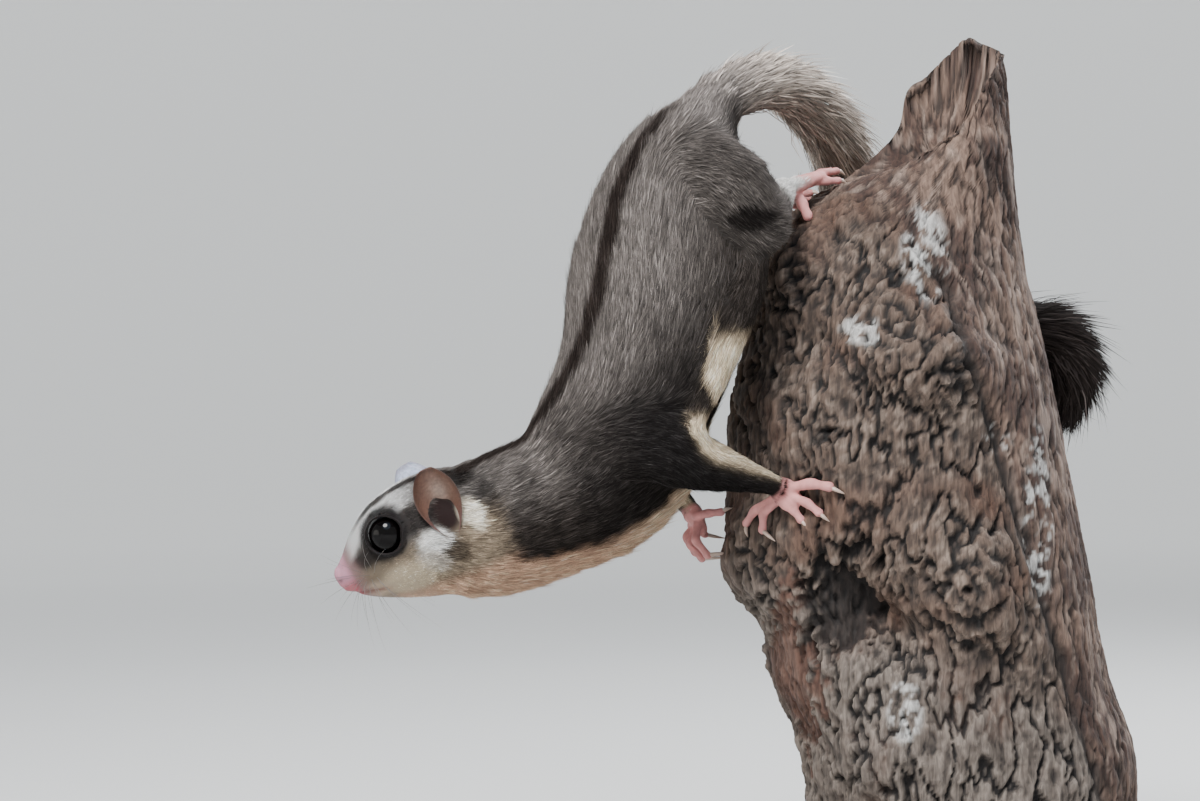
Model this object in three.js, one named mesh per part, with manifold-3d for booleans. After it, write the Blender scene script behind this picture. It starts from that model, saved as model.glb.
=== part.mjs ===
// A sugar glider that climbs head down on a broken snag, life size, on a plain display stand.
// Millimetres, +Z up. The origin is the middle of the stand's underside. The nose points to -X,
// the snag stands on the +X side, and the glider shows its left side and its back to -Y.
import * as THREE from "three";
import { mergeVertices } from "three/addons/utils/BufferGeometryUtils.js";
import Module from "manifold-3d";

const wasm = await Module();
wasm.setup();

// Driving dimensions
const GAP = 0.3;
const EYE_RADIUS = 5.5;
const EYE_RING = 4.6;
const LID_THICKNESS = 1.0;
const MOUTH_GROOVE = 0.56;
const NOSTRIL_RADIUS = 0.75;
const EAR_WIDTH = 12.5;
const EAR_THICKNESS = 0.9;
const EAR_CUP = 3.6;
const DIGIT_RADIUS = 1.35;
const CLAW_RADIUS = 0.65;
const CLAW_DEPTH = 1.2;
const CLAW_BEND = 0.55;
const CLAW_ARCH = 0.45;
const STAND_LENGTH = 190;
const STAND_WIDTH = 140;
const STAND_THICKNESS = 12;
const STAND_CORNER = 10;
const ROD_RADIUS = 4;
const SNAG_FOOT = 28;
const TAIL_CORE = 0.5;
const LOCK_ROW = 16;
const LOCKS_ROUND = 5;
const LOCK_LENGTH = 26;
const LOCK_HALF_WIDTH = 5.3;
const LOCK_HALF_THICKNESS = 1.1;

const finish = (color, roughness, metalness = 0) =>
  new THREE.MeshStandardMaterial({ color, roughness, metalness });
const BACK_FUR = finish(0x77736f, 0.9);
const BELLY_FUR = finish(0xe2d3b8, 0.9);
const TAIL_FUR = finish(0xb3a89f, 0.92);
const TAIL_TIP_FUR = finish(0x2b2726, 0.92);
const FACE_FUR = finish(0xa8a29a, 0.9);
const PINK_SKIN = finish(0xd9a3a0, 0.55);
const EAR_SKIN = finish(0x7d5546, 0.6);
const EYE_GLOSS = finish(0x0b0c12, 0.05);
const SNAG_WOOD = finish(0x5c483c, 0.85);
const STAND_WOOD = finish(0x2a2522, 0.4);
const ROD_STEEL = finish(0xb4b6b8, 0.3, 1);

const vec = (p) => new THREE.Vector3(...p);

// One place along a limb: its centre, half-width, half-depth, the way its back faces, and its
// half-depth on the belly side.
const station = (at, wide, deep, back, belly = deep) => ({
  at: vec(at),
  size: new THREE.Vector3(wide, deep, belly),
  back: vec(back),
});

// The frame along a row of stations at t from 0 to 1.
function along(stations) {
  const through = (pick) => new THREE.CatmullRomCurve3(stations.map(pick));
  const centre = through((s) => s.at);
  const size = through((s) => s.size);
  const back = through((s) => s.back);
  return (t) => {
    const forward = centre.getTangent(t);
    const side = forward.clone().cross(back.getPoint(t)).normalize();
    const up = side.clone().cross(forward).normalize();
    return { centre: centre.getPoint(t), size: size.getPoint(t), forward, side, up };
  };
}

// The sections of a loft, with round ends that reach out by ends times the smaller half-size.
function sections(stations, steps, grow, ends, capRings) {
  const frameAt = along(stations);
  const count = (stations.length - 1) * steps;
  const rings = [];
  const cap = (frame, sign, reach, k) => {
    const turn = ((k / (capRings + 1)) * Math.PI) / 2;
    const length = reach * Math.min(frame.size.x, frame.size.y) + grow;
    rings.push({
      frame,
      shrink: Math.cos(turn),
      push: sign * Math.sin(turn) * length,
    });
  };
  for (let k = capRings + 1; k > 0; k--) cap(frameAt(0), -1, ends[0], k);
  for (let i = 0; i <= count; i++)
    rings.push({ frame: frameAt(i / count), shrink: 1, push: 0 });
  for (let k = 1; k <= capRings + 1; k++) cap(frameAt(1), 1, ends[1], k);
  return rings;
}

// A closed skin round a row of stations.
function loft(stations, options = {}) {
  const { sides = 16, steps = 2, grow = 0, ends = [1, 1], capRings = 2 } = options;
  const rings = sections(stations, steps, grow, ends, capRings);
  const positions = [];
  const index = [];
  rings.forEach(({ frame, shrink, push }, r) => {
    const { centre, size, forward, side, up } = frame;
    const pole = r === 0 || r === rings.length - 1;
    for (let j = 0; j < (pole ? 1 : sides); j++) {
      const turn = (j / sides) * 2 * Math.PI;
      const across = pole ? 0 : Math.cos(turn) * (size.x + grow) * shrink;
      const depth = Math.sin(turn) > 0 ? size.y : size.z;
      const rise = pole ? 0 : Math.sin(turn) * (depth + grow) * shrink;
      const point = centre
        .clone()
        .addScaledVector(forward, push)
        .addScaledVector(side, across)
        .addScaledVector(up, rise);
      positions.push(point.x, point.y, point.z);
    }
  });
  const first = (r) => 1 + (r - 1) * sides;
  const last = positions.length / 3 - 1;
  for (let j = 0; j < sides; j++) {
    const next = (j + 1) % sides;
    index.push(0, first(1) + j, first(1) + next);
    for (let r = 1; r < rings.length - 2; r++) {
      const [a, b] = [first(r) + j, first(r) + next];
      const [d, c] = [first(r + 1) + j, first(r + 1) + next];
      index.push(a, d, c, a, c, b);
    }
    const end = first(rings.length - 2);
    index.push(last, end + next, end + j);
  }
  return closed(positions, index);
}

function closed(positions, index) {
  const geometry = new THREE.BufferGeometry();
  geometry.setAttribute("position", new THREE.Float32BufferAttribute(positions, 3));
  geometry.setIndex(index);
  return geometry;
}

// A closed mesh as a solid that can be joined and cut.
function solid(geometry) {
  const bare = geometry.clone();
  bare.deleteAttribute("normal");
  bare.deleteAttribute("uv");
  const merged = mergeVertices(bare, 1e-4);
  return new wasm.Manifold(
    new wasm.Mesh({
      numProp: 3,
      vertProperties: merged.attributes.position.array,
      triVerts: new Uint32Array(merged.index.array),
    }),
  );
}

// A seeded draw from -1 to 1.
let seed = 31;
function vary() {
  seed = (seed * 16807) % 2147483647;
  return (2 * seed) / 2147483647 - 1;
}

const join = (parts) => parts.reduce((whole, part) => whole.add(part));
const carve = (whole, cuts) => cuts.reduce((rest, cut) => rest.subtract(cut), whole);

const model = new THREE.Group();

// Adds a solid to the model as a named node, keeping only its largest closed surface.
function node(name, shape, material) {
  const [kept] = shape.decompose().sort((a, b) => b.volume() - a.volume());
  const { numProp, vertProperties, triVerts } = kept.getMesh();
  const positions = [];
  for (let i = 0; i < vertProperties.length; i += numProp)
    positions.push(...vertProperties.subarray(i, i + 3));
  const mesh = new THREE.Mesh(closed(positions, [...triVerts]), material);
  mesh.name = name;
  mesh.geometry.computeVertexNormals();
  model.add(mesh);
}

// A limb that can be had at its own size or grown by the gap, to carve what it meets.
function limb(stations, options = {}) {
  return {
    shape: solid(loft(stations, options)),
    grown: solid(loft(stations, { ...options, grow: GAP })),
  };
}

// The snag: left, right and depth profiles over height, a broken rim, and knots and hollows.
function profile(rows) {
  const heights = new Float32Array(rows.map((row) => row[0]));
  const values = new Float32Array(rows.map((row) => row[1]));
  const curve = new THREE.CubicInterpolant(heights, values, 1, new Float32Array(1));
  return (z) => curve.evaluate(z)[0];
}
const snagLeft = profile([
  [28, -36], [48, -38], [66, -46], [82, -50], [91, -57], [117, -58], [145, -57],
  [165, -53], [182, -48], [197, -41.5], [206, -30], [213, -20], [222, -11.5], [236, -9], [252, 1],
]);
const snagRight = profile([
  [28, 58], [45, 57], [66, 50], [94, 44.5], [117, 40], [140, 35.5], [166, 30], [186, 25.5],
  [223, 21.5], [243, 19.5], [252, 16],
]);
const snagDepth = profile([
  [28, 42], [66, 42], [91, 46], [117, 46], [145, 44], [166, 41], [186, 36], [205, 29],
  [224, 20], [243, 12], [252, 7],
]);
const snagRim = profile([
  [0, 245], [45, 248], [80, 250], [105, 245], [125, 239], [150, 233], [165, 221], [180, 209],
  [225, 208], [270, 223], [315, 240], [360, 245],
]);
// Angle in degrees round the snag from +X towards +Y, height, spread and rise.
const KNOTS = [
  { angle: 218, height: 180, spread: 13, rise: 7 },
  { angle: 262, height: 158, spread: 15, rise: 6 },
  { angle: 284, height: 154, spread: 14, rise: 9 },
  { angle: 285, height: 94, spread: 15, rise: 7 },
  { angle: 232, height: 137, spread: 14, rise: 3 },
  { angle: 236, height: 44, spread: 16, rise: 7 },
  { angle: 196, height: 104, spread: 13, rise: 2 },
  { angle: 250, height: 88, spread: 15, rise: -13 },
  { angle: 60, height: 120, spread: 22, rise: 5 },
  { angle: 120, height: 70, spread: 20, rise: 6 },
];
const snagMiddle = (z) => (snagLeft(z) + snagRight(z)) / 2;

function snagPoint(degrees, z, lift = 0) {
  const turn = THREE.MathUtils.degToRad(degrees);
  const half = (snagRight(z) - snagLeft(z)) / 2;
  const point = new THREE.Vector3(
    snagMiddle(z) + half * Math.cos(turn),
    snagDepth(z) * Math.sin(turn),
    z,
  );
  const outward = new THREE.Vector3(Math.cos(turn), Math.sin(turn), 0);
  let rise = lift;
  for (const knot of KNOTS) {
    const across = THREE.MathUtils.euclideanModulo(degrees - knot.angle + 180, 360) - 180;
    const arc = (THREE.MathUtils.degToRad(across) * (half + snagDepth(z))) / 2;
    const off = Math.hypot(arc, z - knot.height) / knot.spread;
    rise += knot.rise * Math.exp(-off * off);
  }
  return point.addScaledVector(outward, rise);
}

const SNAG_SIDES = 34;
const SNAG_RINGS = 20;
const SNAG_CROWN = 4;
const CROWN_FLOOR = 212;
function snagGeometry(grow) {
  const positions = [];
  const index = [];
  const push = (p) => positions.push(p.x, p.y, p.z);
  for (let i = 0; i <= SNAG_RINGS; i++)
    for (let j = 0; j < SNAG_SIDES; j++) {
      const degrees = (j / SNAG_SIDES) * 360;
      const top = snagRim(degrees) + grow;
      push(snagPoint(degrees, SNAG_FOOT - grow + ((top - SNAG_FOOT + grow) * i) / SNAG_RINGS, grow));
    }
  for (let k = 1; k < SNAG_CROWN; k++)
    for (let j = 0; j < SNAG_SIDES; j++) {
      const degrees = (j / SNAG_SIDES) * 360;
      const inward = k / SNAG_CROWN;
      const rim = snagPoint(degrees, snagRim(degrees), grow);
      const hub = new THREE.Vector3(2, 0, CROWN_FLOOR);
      const point = rim.clone().lerp(hub, inward);
      point.z = THREE.MathUtils.lerp(rim.z, hub.z, Math.sqrt(inward)) + grow;
      push(point);
    }
  push(new THREE.Vector3(2, 0, CROWN_FLOOR + grow));
  push(new THREE.Vector3(snagMiddle(SNAG_FOOT), 0, SNAG_FOOT - grow));
  const rows = SNAG_RINGS + SNAG_CROWN;
  const hub = rows * SNAG_SIDES;
  for (let j = 0; j < SNAG_SIDES; j++) {
    const next = (j + 1) % SNAG_SIDES;
    for (let i = 0; i < rows - 1; i++) {
      const [a, b] = [i * SNAG_SIDES + j, i * SNAG_SIDES + next];
      const [d, c] = [a + SNAG_SIDES, b + SNAG_SIDES];
      index.push(a, b, c, a, c, d);
    }
    const top = (rows - 1) * SNAG_SIDES;
    index.push(hub, top + j, top + next);
    index.push(hub + 1, next, j);
  }
  return closed(positions, index);
}

// The front of the snag at x and z: the y where the bark is, found by halving.
function barkFront(x, z) {
  const inside = (y) => {
    const half = (snagRight(z) - snagLeft(z)) / 2;
    const along = (x - snagMiddle(z)) / half;
    const across = y / snagDepth(z);
    const degrees = THREE.MathUtils.radToDeg(Math.atan2(across, along));
    const skin = snagPoint(THREE.MathUtils.euclideanModulo(degrees, 360), z);
    return Math.hypot(x - snagMiddle(z), y) < Math.hypot(skin.x - snagMiddle(z), skin.y);
  };
  let [out, into] = [-90, 0];
  for (let i = 0; i < 24; i++) {
    const middle = (out + into) / 2;
    if (inside(middle)) into = middle;
    else out = middle;
  }
  return out;
}

const snag = solid(snagGeometry(0));
const snagGrown = solid(snagGeometry(GAP));

// The trunk of the body, from the rump to the base of the neck.
const TORSO = [
  station([-64.5, -16, 227.5], 8, 8, [-0.4, -0.4, 0.82]),
  station([-69.5, -22, 218], 14.5, 14, [-0.55, -0.55, 0.62]),
  station([-74.5, -28, 208], 19.5, 18, [-0.62, -0.66, 0.4]),
  station([-77.5, -30, 195.5], 24, 21.5, [-0.7, -0.7, 0.15]),
  station([-78.5, -30, 183], 28, 24, [-0.7, -0.7, 0.05]),
  station([-80, -30, 170.5], 29, 24, [-0.72, -0.68, 0.1]),
  station([-83, -29, 158], 27, 23, [-0.75, -0.62, 0.2]),
  station([-87.5, -27, 145.5], 24, 23, [-0.78, -0.52, 0.32], 24),
  station([-93, -25, 133], 22, 24, [-0.74, -0.45, 0.48], 28),
  station([-101.5, -24, 121.5], 20, 22, [-0.64, -0.35, 0.68], 26),
];
const NECK = [
  station([-96, -24.5, 128], 19, 20, [-0.7, -0.4, 0.58], 24),
  station([-103, -24, 121], 19, 21, [-0.62, -0.33, 0.7], 24),
  station([-112, -24, 115.5], 18.5, 21, [-0.55, -0.28, 0.78], 22),
  station([-121.5, -24, 111.5], 18, 21, [-0.47, -0.2, 0.86], 21),
  station([-131, -24.5, 108.5], 16.5, 20, [-0.43, -0.15, 0.89], 20),
];
const torso = limb(TORSO, { sides: 24, steps: 2 });
const neck = limb(NECK, { sides: 18, steps: 2 });

// The head, in its own frame: back from the tip of the nose, left towards -Y, and up.
const NOSE_TIP = vec([-169, -22, 95.5]);
const HEAD_BACK = vec([0.868, -0.07, 0.49]).normalize();
const HEAD_UP = vec([-0.49, -0.1, 0.87]).projectOnPlane(HEAD_BACK).normalize();
const HEAD_LEFT = HEAD_BACK.clone().cross(HEAD_UP).normalize();
const headPoint = (back, left, up) =>
  NOSE_TIP.clone()
    .addScaledVector(HEAD_BACK, back)
    .addScaledVector(HEAD_LEFT, left)
    .addScaledVector(HEAD_UP, up);
const headStation = (back, top, bottom, wide) => ({
  at: headPoint(back, 0, 0),
  size: new THREE.Vector3(wide, top, bottom),
  back: HEAD_UP,
});
const HEAD = [
  headStation(1.6, 3.0, 4.6, 2.9),
  headStation(4, 4.9, 7.6, 4.4),
  headStation(8, 8.6, 10.6, 7.2),
  headStation(13, 12.1, 13.6, 10.6),
  headStation(18, 14.4, 16.4, 13.2),
  headStation(24, 15.6, 19.4, 15.4),
  headStation(30, 15.7, 22, 16.2),
  headStation(36, 15, 22.5, 15.4),
];
const headLoft = limb(HEAD, { sides: 24, steps: 2, ends: [0.8, 0.7] });

const EYES = [
  { name: "left", left: 1 },
  { name: "right", left: -1 },
].map((eye) => ({ ...eye, at: headPoint(19.6, eye.left * 9.6, 5.2) }));
const ball = (radius, at, across = 16, down = 8) =>
  new THREE.SphereGeometry(radius, across, down).translate(at.x, at.y, at.z);

// The ring of the lids round one eye, facing out to its side and a little forward and up.
function lidRing(eye) {
  const facing = HEAD_LEFT.clone()
    .multiplyScalar(eye.left)
    .addScaledVector(HEAD_BACK, -0.12)
    .addScaledVector(HEAD_UP, 0.1)
    .normalize();
  const ring = new THREE.TorusGeometry(EYE_RING, LID_THICKNESS, 6, 22);
  ring.applyQuaternion(
    new THREE.Quaternion().setFromUnitVectors(new THREE.Vector3(0, 0, 1), facing),
  );
  const out = Math.sqrt(EYE_RADIUS ** 2 - EYE_RING ** 2);
  const at = eye.at.clone().addScaledVector(facing, out);
  return solid(ring.translate(at.x, at.y, at.z));
}

// A thin tube along points, used for the line of the mouth.
function groove(points, radius) {
  const rows = points.map((at) => ({
    at,
    size: new THREE.Vector3(radius, radius, radius),
    back: HEAD_LEFT,
  }));
  return solid(loft(rows, { sides: 5, steps: 1, capRings: 0 }));
}
const mouthLine = [1, -1].map((left) =>
  groove(
    [
      headPoint(1.2, left * 0.4, -5.3),
      headPoint(3.5, left * 3.4, -5.6),
      headPoint(7, left * 6.1, -7.3),
      headPoint(11, left * 8.6, -8.4),
      headPoint(14.5, left * 10.8, -8.0),
    ],
    MOUTH_GROOVE,
  ),
);
const nostrils = [1, -1].map((left) =>
  solid(ball(NOSTRIL_RADIUS, headPoint(0.1, left * 1.5, -0.9), 8, 6)),
);
const eyeSockets = EYES.map((eye) => solid(ball(EYE_RADIUS + GAP, eye.at)));
const head = carve(join([headLoft.shape, ...EYES.map(lidRing)]), [
  ...eyeSockets,
  ...mouthLine,
  ...nostrils,
]);

// One ear: a cupped leaf of skin. u runs from the notch at the cheek to the tip, v across.
function earGeometry({ root, tip, out }) {
  const length = tip.clone().sub(root);
  const facing = out.clone().projectOnPlane(length).normalize();
  const across = length.clone().cross(facing).normalize();
  const [down, over] = [8, 6];
  const point = (u, v, side) => {
    const width = (EAR_WIDTH / 2) * Math.sin(Math.PI * Math.pow(0.06 + 0.88 * u, 1.25)) ** 0.62;
    const cup = EAR_CUP * (1 - v * v) * Math.sin(Math.PI * Math.min(0.95, 0.12 + 0.8 * u));
    const curl = 1.6 * v ** 4;
    const rim = Math.sqrt(Math.max(0, 1 - v ** 8)) * 0.5 + 0.5;
    return root
      .clone()
      .addScaledVector(length, u)
      .addScaledVector(across, v * width)
      .addScaledVector(facing, curl - cup + side * (EAR_THICKNESS / 2) * rim);
  };
  const positions = [];
  const index = [];
  for (const side of [1, -1])
    for (let i = 0; i <= down; i++)
      for (let j = 0; j <= over; j++) {
        const p = point(i / down, -1 + (2 * j) / over, side);
        positions.push(p.x, p.y, p.z);
      }
  const at = (side, i, j) => (side * (down + 1) + i) * (over + 1) + j;
  const quad = (a, b, c, d) => index.push(a, b, c, a, c, d);
  for (let i = 0; i < down; i++)
    for (let j = 0; j < over; j++) {
      quad(at(0, i, j), at(0, i, j + 1), at(0, i + 1, j + 1), at(0, i + 1, j));
      quad(at(1, i, j), at(1, i + 1, j), at(1, i + 1, j + 1), at(1, i, j + 1));
    }
  for (let i = 0; i < down; i++) {
    quad(at(0, i, 0), at(0, i + 1, 0), at(1, i + 1, 0), at(1, i, 0));
    quad(at(1, i, over), at(1, i + 1, over), at(0, i + 1, over), at(0, i, over));
  }
  for (let j = 0; j < over; j++) {
    quad(at(1, 0, j), at(1, 0, j + 1), at(0, 0, j + 1), at(0, 0, j));
    quad(at(0, down, j), at(0, down, j + 1), at(1, down, j + 1), at(1, down, j));
  }
  return closed(positions, index);
}

// A row of stations along plain points with one size each and one back direction.
const row = (back, rows) => rows.map(([at, wide, deep, belly]) => station(at, wide, deep, back, belly));

const LEFT_SIDE = [0.1, -0.95, 0.2];
const RIGHT_SIDE = [-0.3, 0.9, 0.2];
const upperArmLeft = limb(
  row(LEFT_SIDE, [
    [[-100, -33, 132], 14.5, 9.5],
    [[-88, -40, 135.5], 14.5, 10.5],
    [[-76, -44, 134.5], 12, 9],
  ]),
  { sides: 14 },
);
const forearmLeft = limb(
  row(LEFT_SIDE, [
    [[-77, -44, 131], 10.5, 8.5],
    [[-66, -43, 127.5], 8, 7],
    [[-55, -40, 124.2], 4.8, 4.6],
    [[-47.5, -37.5, 122], 3.1, 3],
  ]),
  { sides: 12 },
);
const upperArmRight = limb(
  row(RIGHT_SIDE, [
    [[-103, -12, 131], 12, 9],
    [[-96, 0, 135], 11, 8],
    [[-91, 8, 134], 9, 7],
  ]),
  { sides: 12 },
);
const forearmRight = limb(
  row(RIGHT_SIDE, [
    [[-90, 7, 132], 8, 7],
    [[-82, 4, 126], 6, 5.5],
    [[-75, 0, 119.5], 3.8, 3.6],
    [[-71, -2, 115.5], 3, 3],
  ]),
  { sides: 12 },
);
const thighLeft = limb(
  row([0.2, -0.95, 0.1], [
    [[-70, -38, 207], 15, 12],
    [[-60, -44, 201], 14, 12],
    [[-52, -47, 193], 9, 8.5],
  ]),
  { sides: 16 },
);
const shinLeft = limb(
  row([0.5, -0.85, 0], [
    [[-51, -46, 194], 8.5, 7.5],
    [[-48, -36, 199.5], 6.2, 5.6],
    [[-44.5, -25, 204], 4, 3.8],
  ]),
  { sides: 12 },
);
const thighRight = limb(
  row([-0.8, 0.5, 0.1], [
    [[-80, -14, 209], 13, 11],
    [[-85, -6, 206], 12.5, 11],
    [[-86, 2, 202], 9, 8],
  ]),
  { sides: 14 },
);
const shinRight = limb(
  row([-0.4, 0.9, 0], [
    [[-85, 3, 202], 8, 7],
    [[-68, 10, 204], 5.5, 5],
    [[-52, 15, 204.5], 3.6, 3.4],
  ]),
  { sides: 12 },
);
const patagiumLeft = [
  limb(
    row([0.75, 0.1, 0], [
      [[-51, -47, 187], 4, 2.5, 6],
      [[-54, -48, 176], 5, 4, 8],
      [[-60, -47, 163], 5, 5, 8],
      [[-65, -46, 150], 4.5, 4, 8],
      [[-69, -46, 141], 4, 3, 6],
    ]),
    { sides: 12 },
  ),
  limb(
    row([0.3, -0.2, 0.9], [
      [[-70, -48, 138], 3.4, 3.5, 6],
      [[-66, -46, 131.5], 3.2, 2.6, 4],
      [[-57, -42, 127.5], 2.6, 1.6, 3],
      [[-49, -38.5, 124.5], 1.8, 1.2, 2],
    ]),
    { sides: 10 },
  ),
];
const patagiumRight = limb(
  row([-0.8, 0.3, 0], [
    [[-91, -6, 201], 5, 3, 6],
    [[-97.5, -11, 190], 6, 4.5, 8],
    [[-100, -12, 174], 6, 4.5, 8],
    [[-99.5, -7, 158], 5, 3.5, 7],
    [[-97, 2, 142], 4, 3, 5],
  ]),
  { sides: 12 },
);

// A paw: a palm and its digits, each a bent row of points with a claw at its end.
const CLAW_TAPER = [1, 0.8, 0.25];
const digit = (points, claw, girth = 1) => ({ points, claw, girth });
function paw({ palm, back, digits }) {
  const parts = [solid(loft(row(back, palm), { sides: 8, steps: 1, capRings: 1 }))];
  for (const { points, claw, girth } of digits) {
    const last = points.length - 1;
    const flesh = points.map((at, i) => {
      const radius = DIGIT_RADIUS * girth * (i === last ? 0.85 : 1.05 - 0.05 * i);
      return station(at, radius, radius, back);
    });
    parts.push(solid(loft(flesh, { sides: 5, steps: 1, capRings: 0 })));
    if (!claw) continue;
    const root = points[last];
    const bend = root.map((c, k) => c + (claw[k] - c) * CLAW_BEND + back[k] * CLAW_ARCH);
    const nail = [root, bend, claw].map((at, i) => {
      const radius = CLAW_RADIUS * CLAW_TAPER[i];
      return station(at, radius, radius * CLAW_DEPTH, back);
    });
    parts.push(solid(loft(nail, { sides: 4, steps: 1, capRings: 0 })));
  }
  return join(parts);
}

// A digit laid on the front of the snag: x and z from the work, y from the bark, raised by lift.
const onBark = (rows) => rows.map(([x, z, lift]) => [x, barkFront(x, z) - lift, z]);
const barkDigit = (points, claw, girth) => digit(onBark(points), onBark([claw])[0], girth);
const HAND_LEFT = {
  back: [-0.45, -0.85, 0.2],
  palm: [
    [[-48.5, -37.5, 122.3], 3, 2.6],
    [onBark([[-45, 120, 3.6]])[0], 4, 2.4],
    [onBark([[-43.5, 118, 2.8]])[0], 3.6, 1.8],
  ],
  digits: [
    barkDigit([[-44.5, 121, 3.4], [-38, 122.4, 2.6], [-33, 121.6, 1.6]], [-28.6, 119.6, 0.6], 1.15),
    barkDigit([[-43, 119, 3], [-38.8, 117, 2.6], [-35.6, 114.4, 1.4]], [-32.8, 112, 0.4]),
    barkDigit([[-44.5, 118, 3], [-42.4, 115, 2.6], [-40.4, 112.4, 1.4]], [-38.2, 110, 0.4]),
    barkDigit([[-46, 118, 3], [-50.3, 114, 3.2], [-50.6, 109.2, 1.6]], [-47.2, 106.2, 0.5]),
    barkDigit([[-47, 118.5, 3], [-52.6, 114.5, 3.4], [-55, 110.6, 2]], [-54.4, 107, 0.7]),
  ],
};
const HAND_RIGHT = {
  back: [-0.9, -0.35, 0.1],
  palm: [
    [[-72, -1, 116.5], 2.8, 2.5],
    [[-69, -3, 112.5], 4, 2.4],
    [[-67.5, -3, 109.5], 3.4, 1.8],
  ],
  digits: [
    digit([[-68.5, -6, 112.5], [-65, -8.5, 113.2], [-61.5, -9.5, 113.6]], [-58.2, -10, 114.8]),
    digit([[-68, -6, 110], [-68.6, -8.5, 105.6], [-65.4, -9.5, 101.4]], [-58.8, -10, 102]),
    digit([[-68.5, -3, 109], [-70.2, -3.5, 104.4], [-66.8, -4.5, 100.2]], [-59.6, -5, 100.4]),
    digit([[-68.5, 0, 110], [-71, 1, 106], [-68.6, 1.5, 101.6]], [-60.5, 2, 100.6]),
    digit([[-69, 1, 111.5], [-69.4, 5.5, 109], [-65.6, 7.5, 106.6]], [-59.4, 8, 105.4]),
  ],
};
const FOOT_LEFT = {
  back: [-0.45, -0.3, 0.85],
  palm: [
    [[-44, -22.5, 204.6], 3.4, 3],
    [[-39.5, -16, 206.4], 3.6, 2.4],
    [[-35, -11, 208.2], 3.4, 2],
  ],
  digits: [
    digit([[-36.5, -12.5, 207.6], [-32, -8.6, 209.9], [-28.6, -5.4, 210.6]], [-25.8, -3.4, 209.6]),
    digit([[-36.5, -10.5, 207.6], [-33, -5.4, 210], [-30, -1.4, 210.8]], [-27.4, 1.2, 210]),
    digit([[-37.5, -10, 207], [-35, -3.8, 208.8], [-32.4, 0.8, 209.4]], [-30.2, 3.6, 208.6]),
    digit([[-36, -13.5, 207], [-31.6, -11.4, 207.4], [-28.4, -10, 207.6]], [-25.6, -9, 206.6]),
    digit([[-41, -18, 204.6], [-39, -20, 200.2], [-37.6, -21.6, 197]], null, 1.2),
  ],
};
const FOOT_RIGHT = {
  back: [-0.5, 0.35, 0.8],
  palm: [
    [[-52, 15.5, 204.4], 3.2, 2.8],
    [[-46.5, 16, 204.4], 3.4, 2.4],
    [[-42, 16, 203.8], 3.4, 2],
  ],
  digits: [
    digit([[-43, 14.6, 204], [-38.6, 12.4, 204.8], [-35, 10.6, 205.4]], [-32.4, 9.4, 205]),
    digit([[-43, 16, 203.8], [-38.2, 16, 204], [-34.6, 15.6, 203.6]], [-31.8, 15.4, 202.6]),
    digit([[-43, 17.4, 203.4], [-38.6, 19.2, 202.4], [-35.2, 20, 201]], [-32.8, 20.4, 199.6]),
    digit([[-44, 18.4, 203], [-40.6, 22, 200.4], [-37.6, 23.6, 198]], [-35.4, 24, 196.4]),
    digit([[-46, 13, 203], [-43.6, 8.6, 201], [-42, 5.6, 199]], null, 1.2),
  ],
};

// The tail: over the top of the snag, down behind it, and out at its right side.
const TAIL_SIDE = [0.6, -0.8, 0.1];
const TAIL = [
  [[-66, -17, 226], 8.5],
  [[-58, -11, 232.5], 9.6],
  [[-48.5, -1, 236], 10],
  [[-38.5, 11, 233.5], 10.2],
  [[-29.5, 22, 225.5], 10],
  [[-23, 32, 213], 9.8],
  [[-16, 41, 198], 9.8],
  [[-4, 48, 183], 9.8],
  [[11, 53, 172], 9.6],
  [[27, 55, 167.5], 9.4],
  [[39, 54, 165.5], 9],
  [[45.5, 52, 157.5], 8.4],
  [[45, 51, 148.5], 5.4],
  [[42.5, 50.5, 142.5], 2],
];
const TAIL_STATIONS = TAIL.map(([at, radius]) => station(at, radius, radius, TAIL_SIDE));
const TAIL_PARTS = [
  { name: "tail_root", from: 0, to: 3 },
  { name: "tail_arch", from: 3, to: 6 },
  { name: "tail_middle", from: 6, to: 9 },
  { name: "tail_tip", from: 9, to: 13 },
];
const tailPath = new THREE.CatmullRomCurve3(TAIL_STATIONS.map((s) => s.at));
const tailFrame = along(TAIL_STATIONS);
const tailLength = tailPath.getLength();

// The tail's frame at a distance from its root, carried straight on past its end.
function tailAt(distance) {
  const t = tailPath.getUtoTmapping(0, Math.min(distance, tailLength * 0.999));
  const frame = tailFrame(t);
  const past = Math.max(0, distance - tailLength);
  frame.centre.addScaledVector(frame.forward, past);
  return { ...frame, t };
}

// A lock's sections: how far along it, how far out in the coat, and its width and thickness.
const LOCK_SHAPE = [
  { along: 0, out: 0.3, wide: 0.4, thick: 0.9 },
  { along: 0.5, out: 0.86, wide: 1, thick: 1 },
  { along: 1, out: 0.99, wide: 0.3, thick: 0.3 },
];
function lock(start, turn, length) {
  const lean = 0.08 * vary();
  const lift = 1 + 0.04 * vary();
  const rows = LOCK_SHAPE.map(({ along: s, out, wide, thick }) => {
    const { centre, size, side, up } = tailAt(start + s * length);
    const angle = turn + lean * s;
    const outward = side
      .clone()
      .multiplyScalar(Math.cos(angle))
      .addScaledVector(up, Math.sin(angle));
    const at = centre.clone().addScaledVector(outward, Math.max(size.x, 2.5) * out * lift);
    const half = LOCK_HALF_WIDTH * wide;
    const girth = LOCK_HALF_THICKNESS * thick;
    return { at, size: new THREE.Vector3(half, girth, girth), back: outward };
  });
  return {
    from: tailAt(start).t,
    to: tailAt(start + length).t,
    shape: solid(loft(rows, { sides: 4, steps: 1, capRings: 0 })),
  };
}

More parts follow.
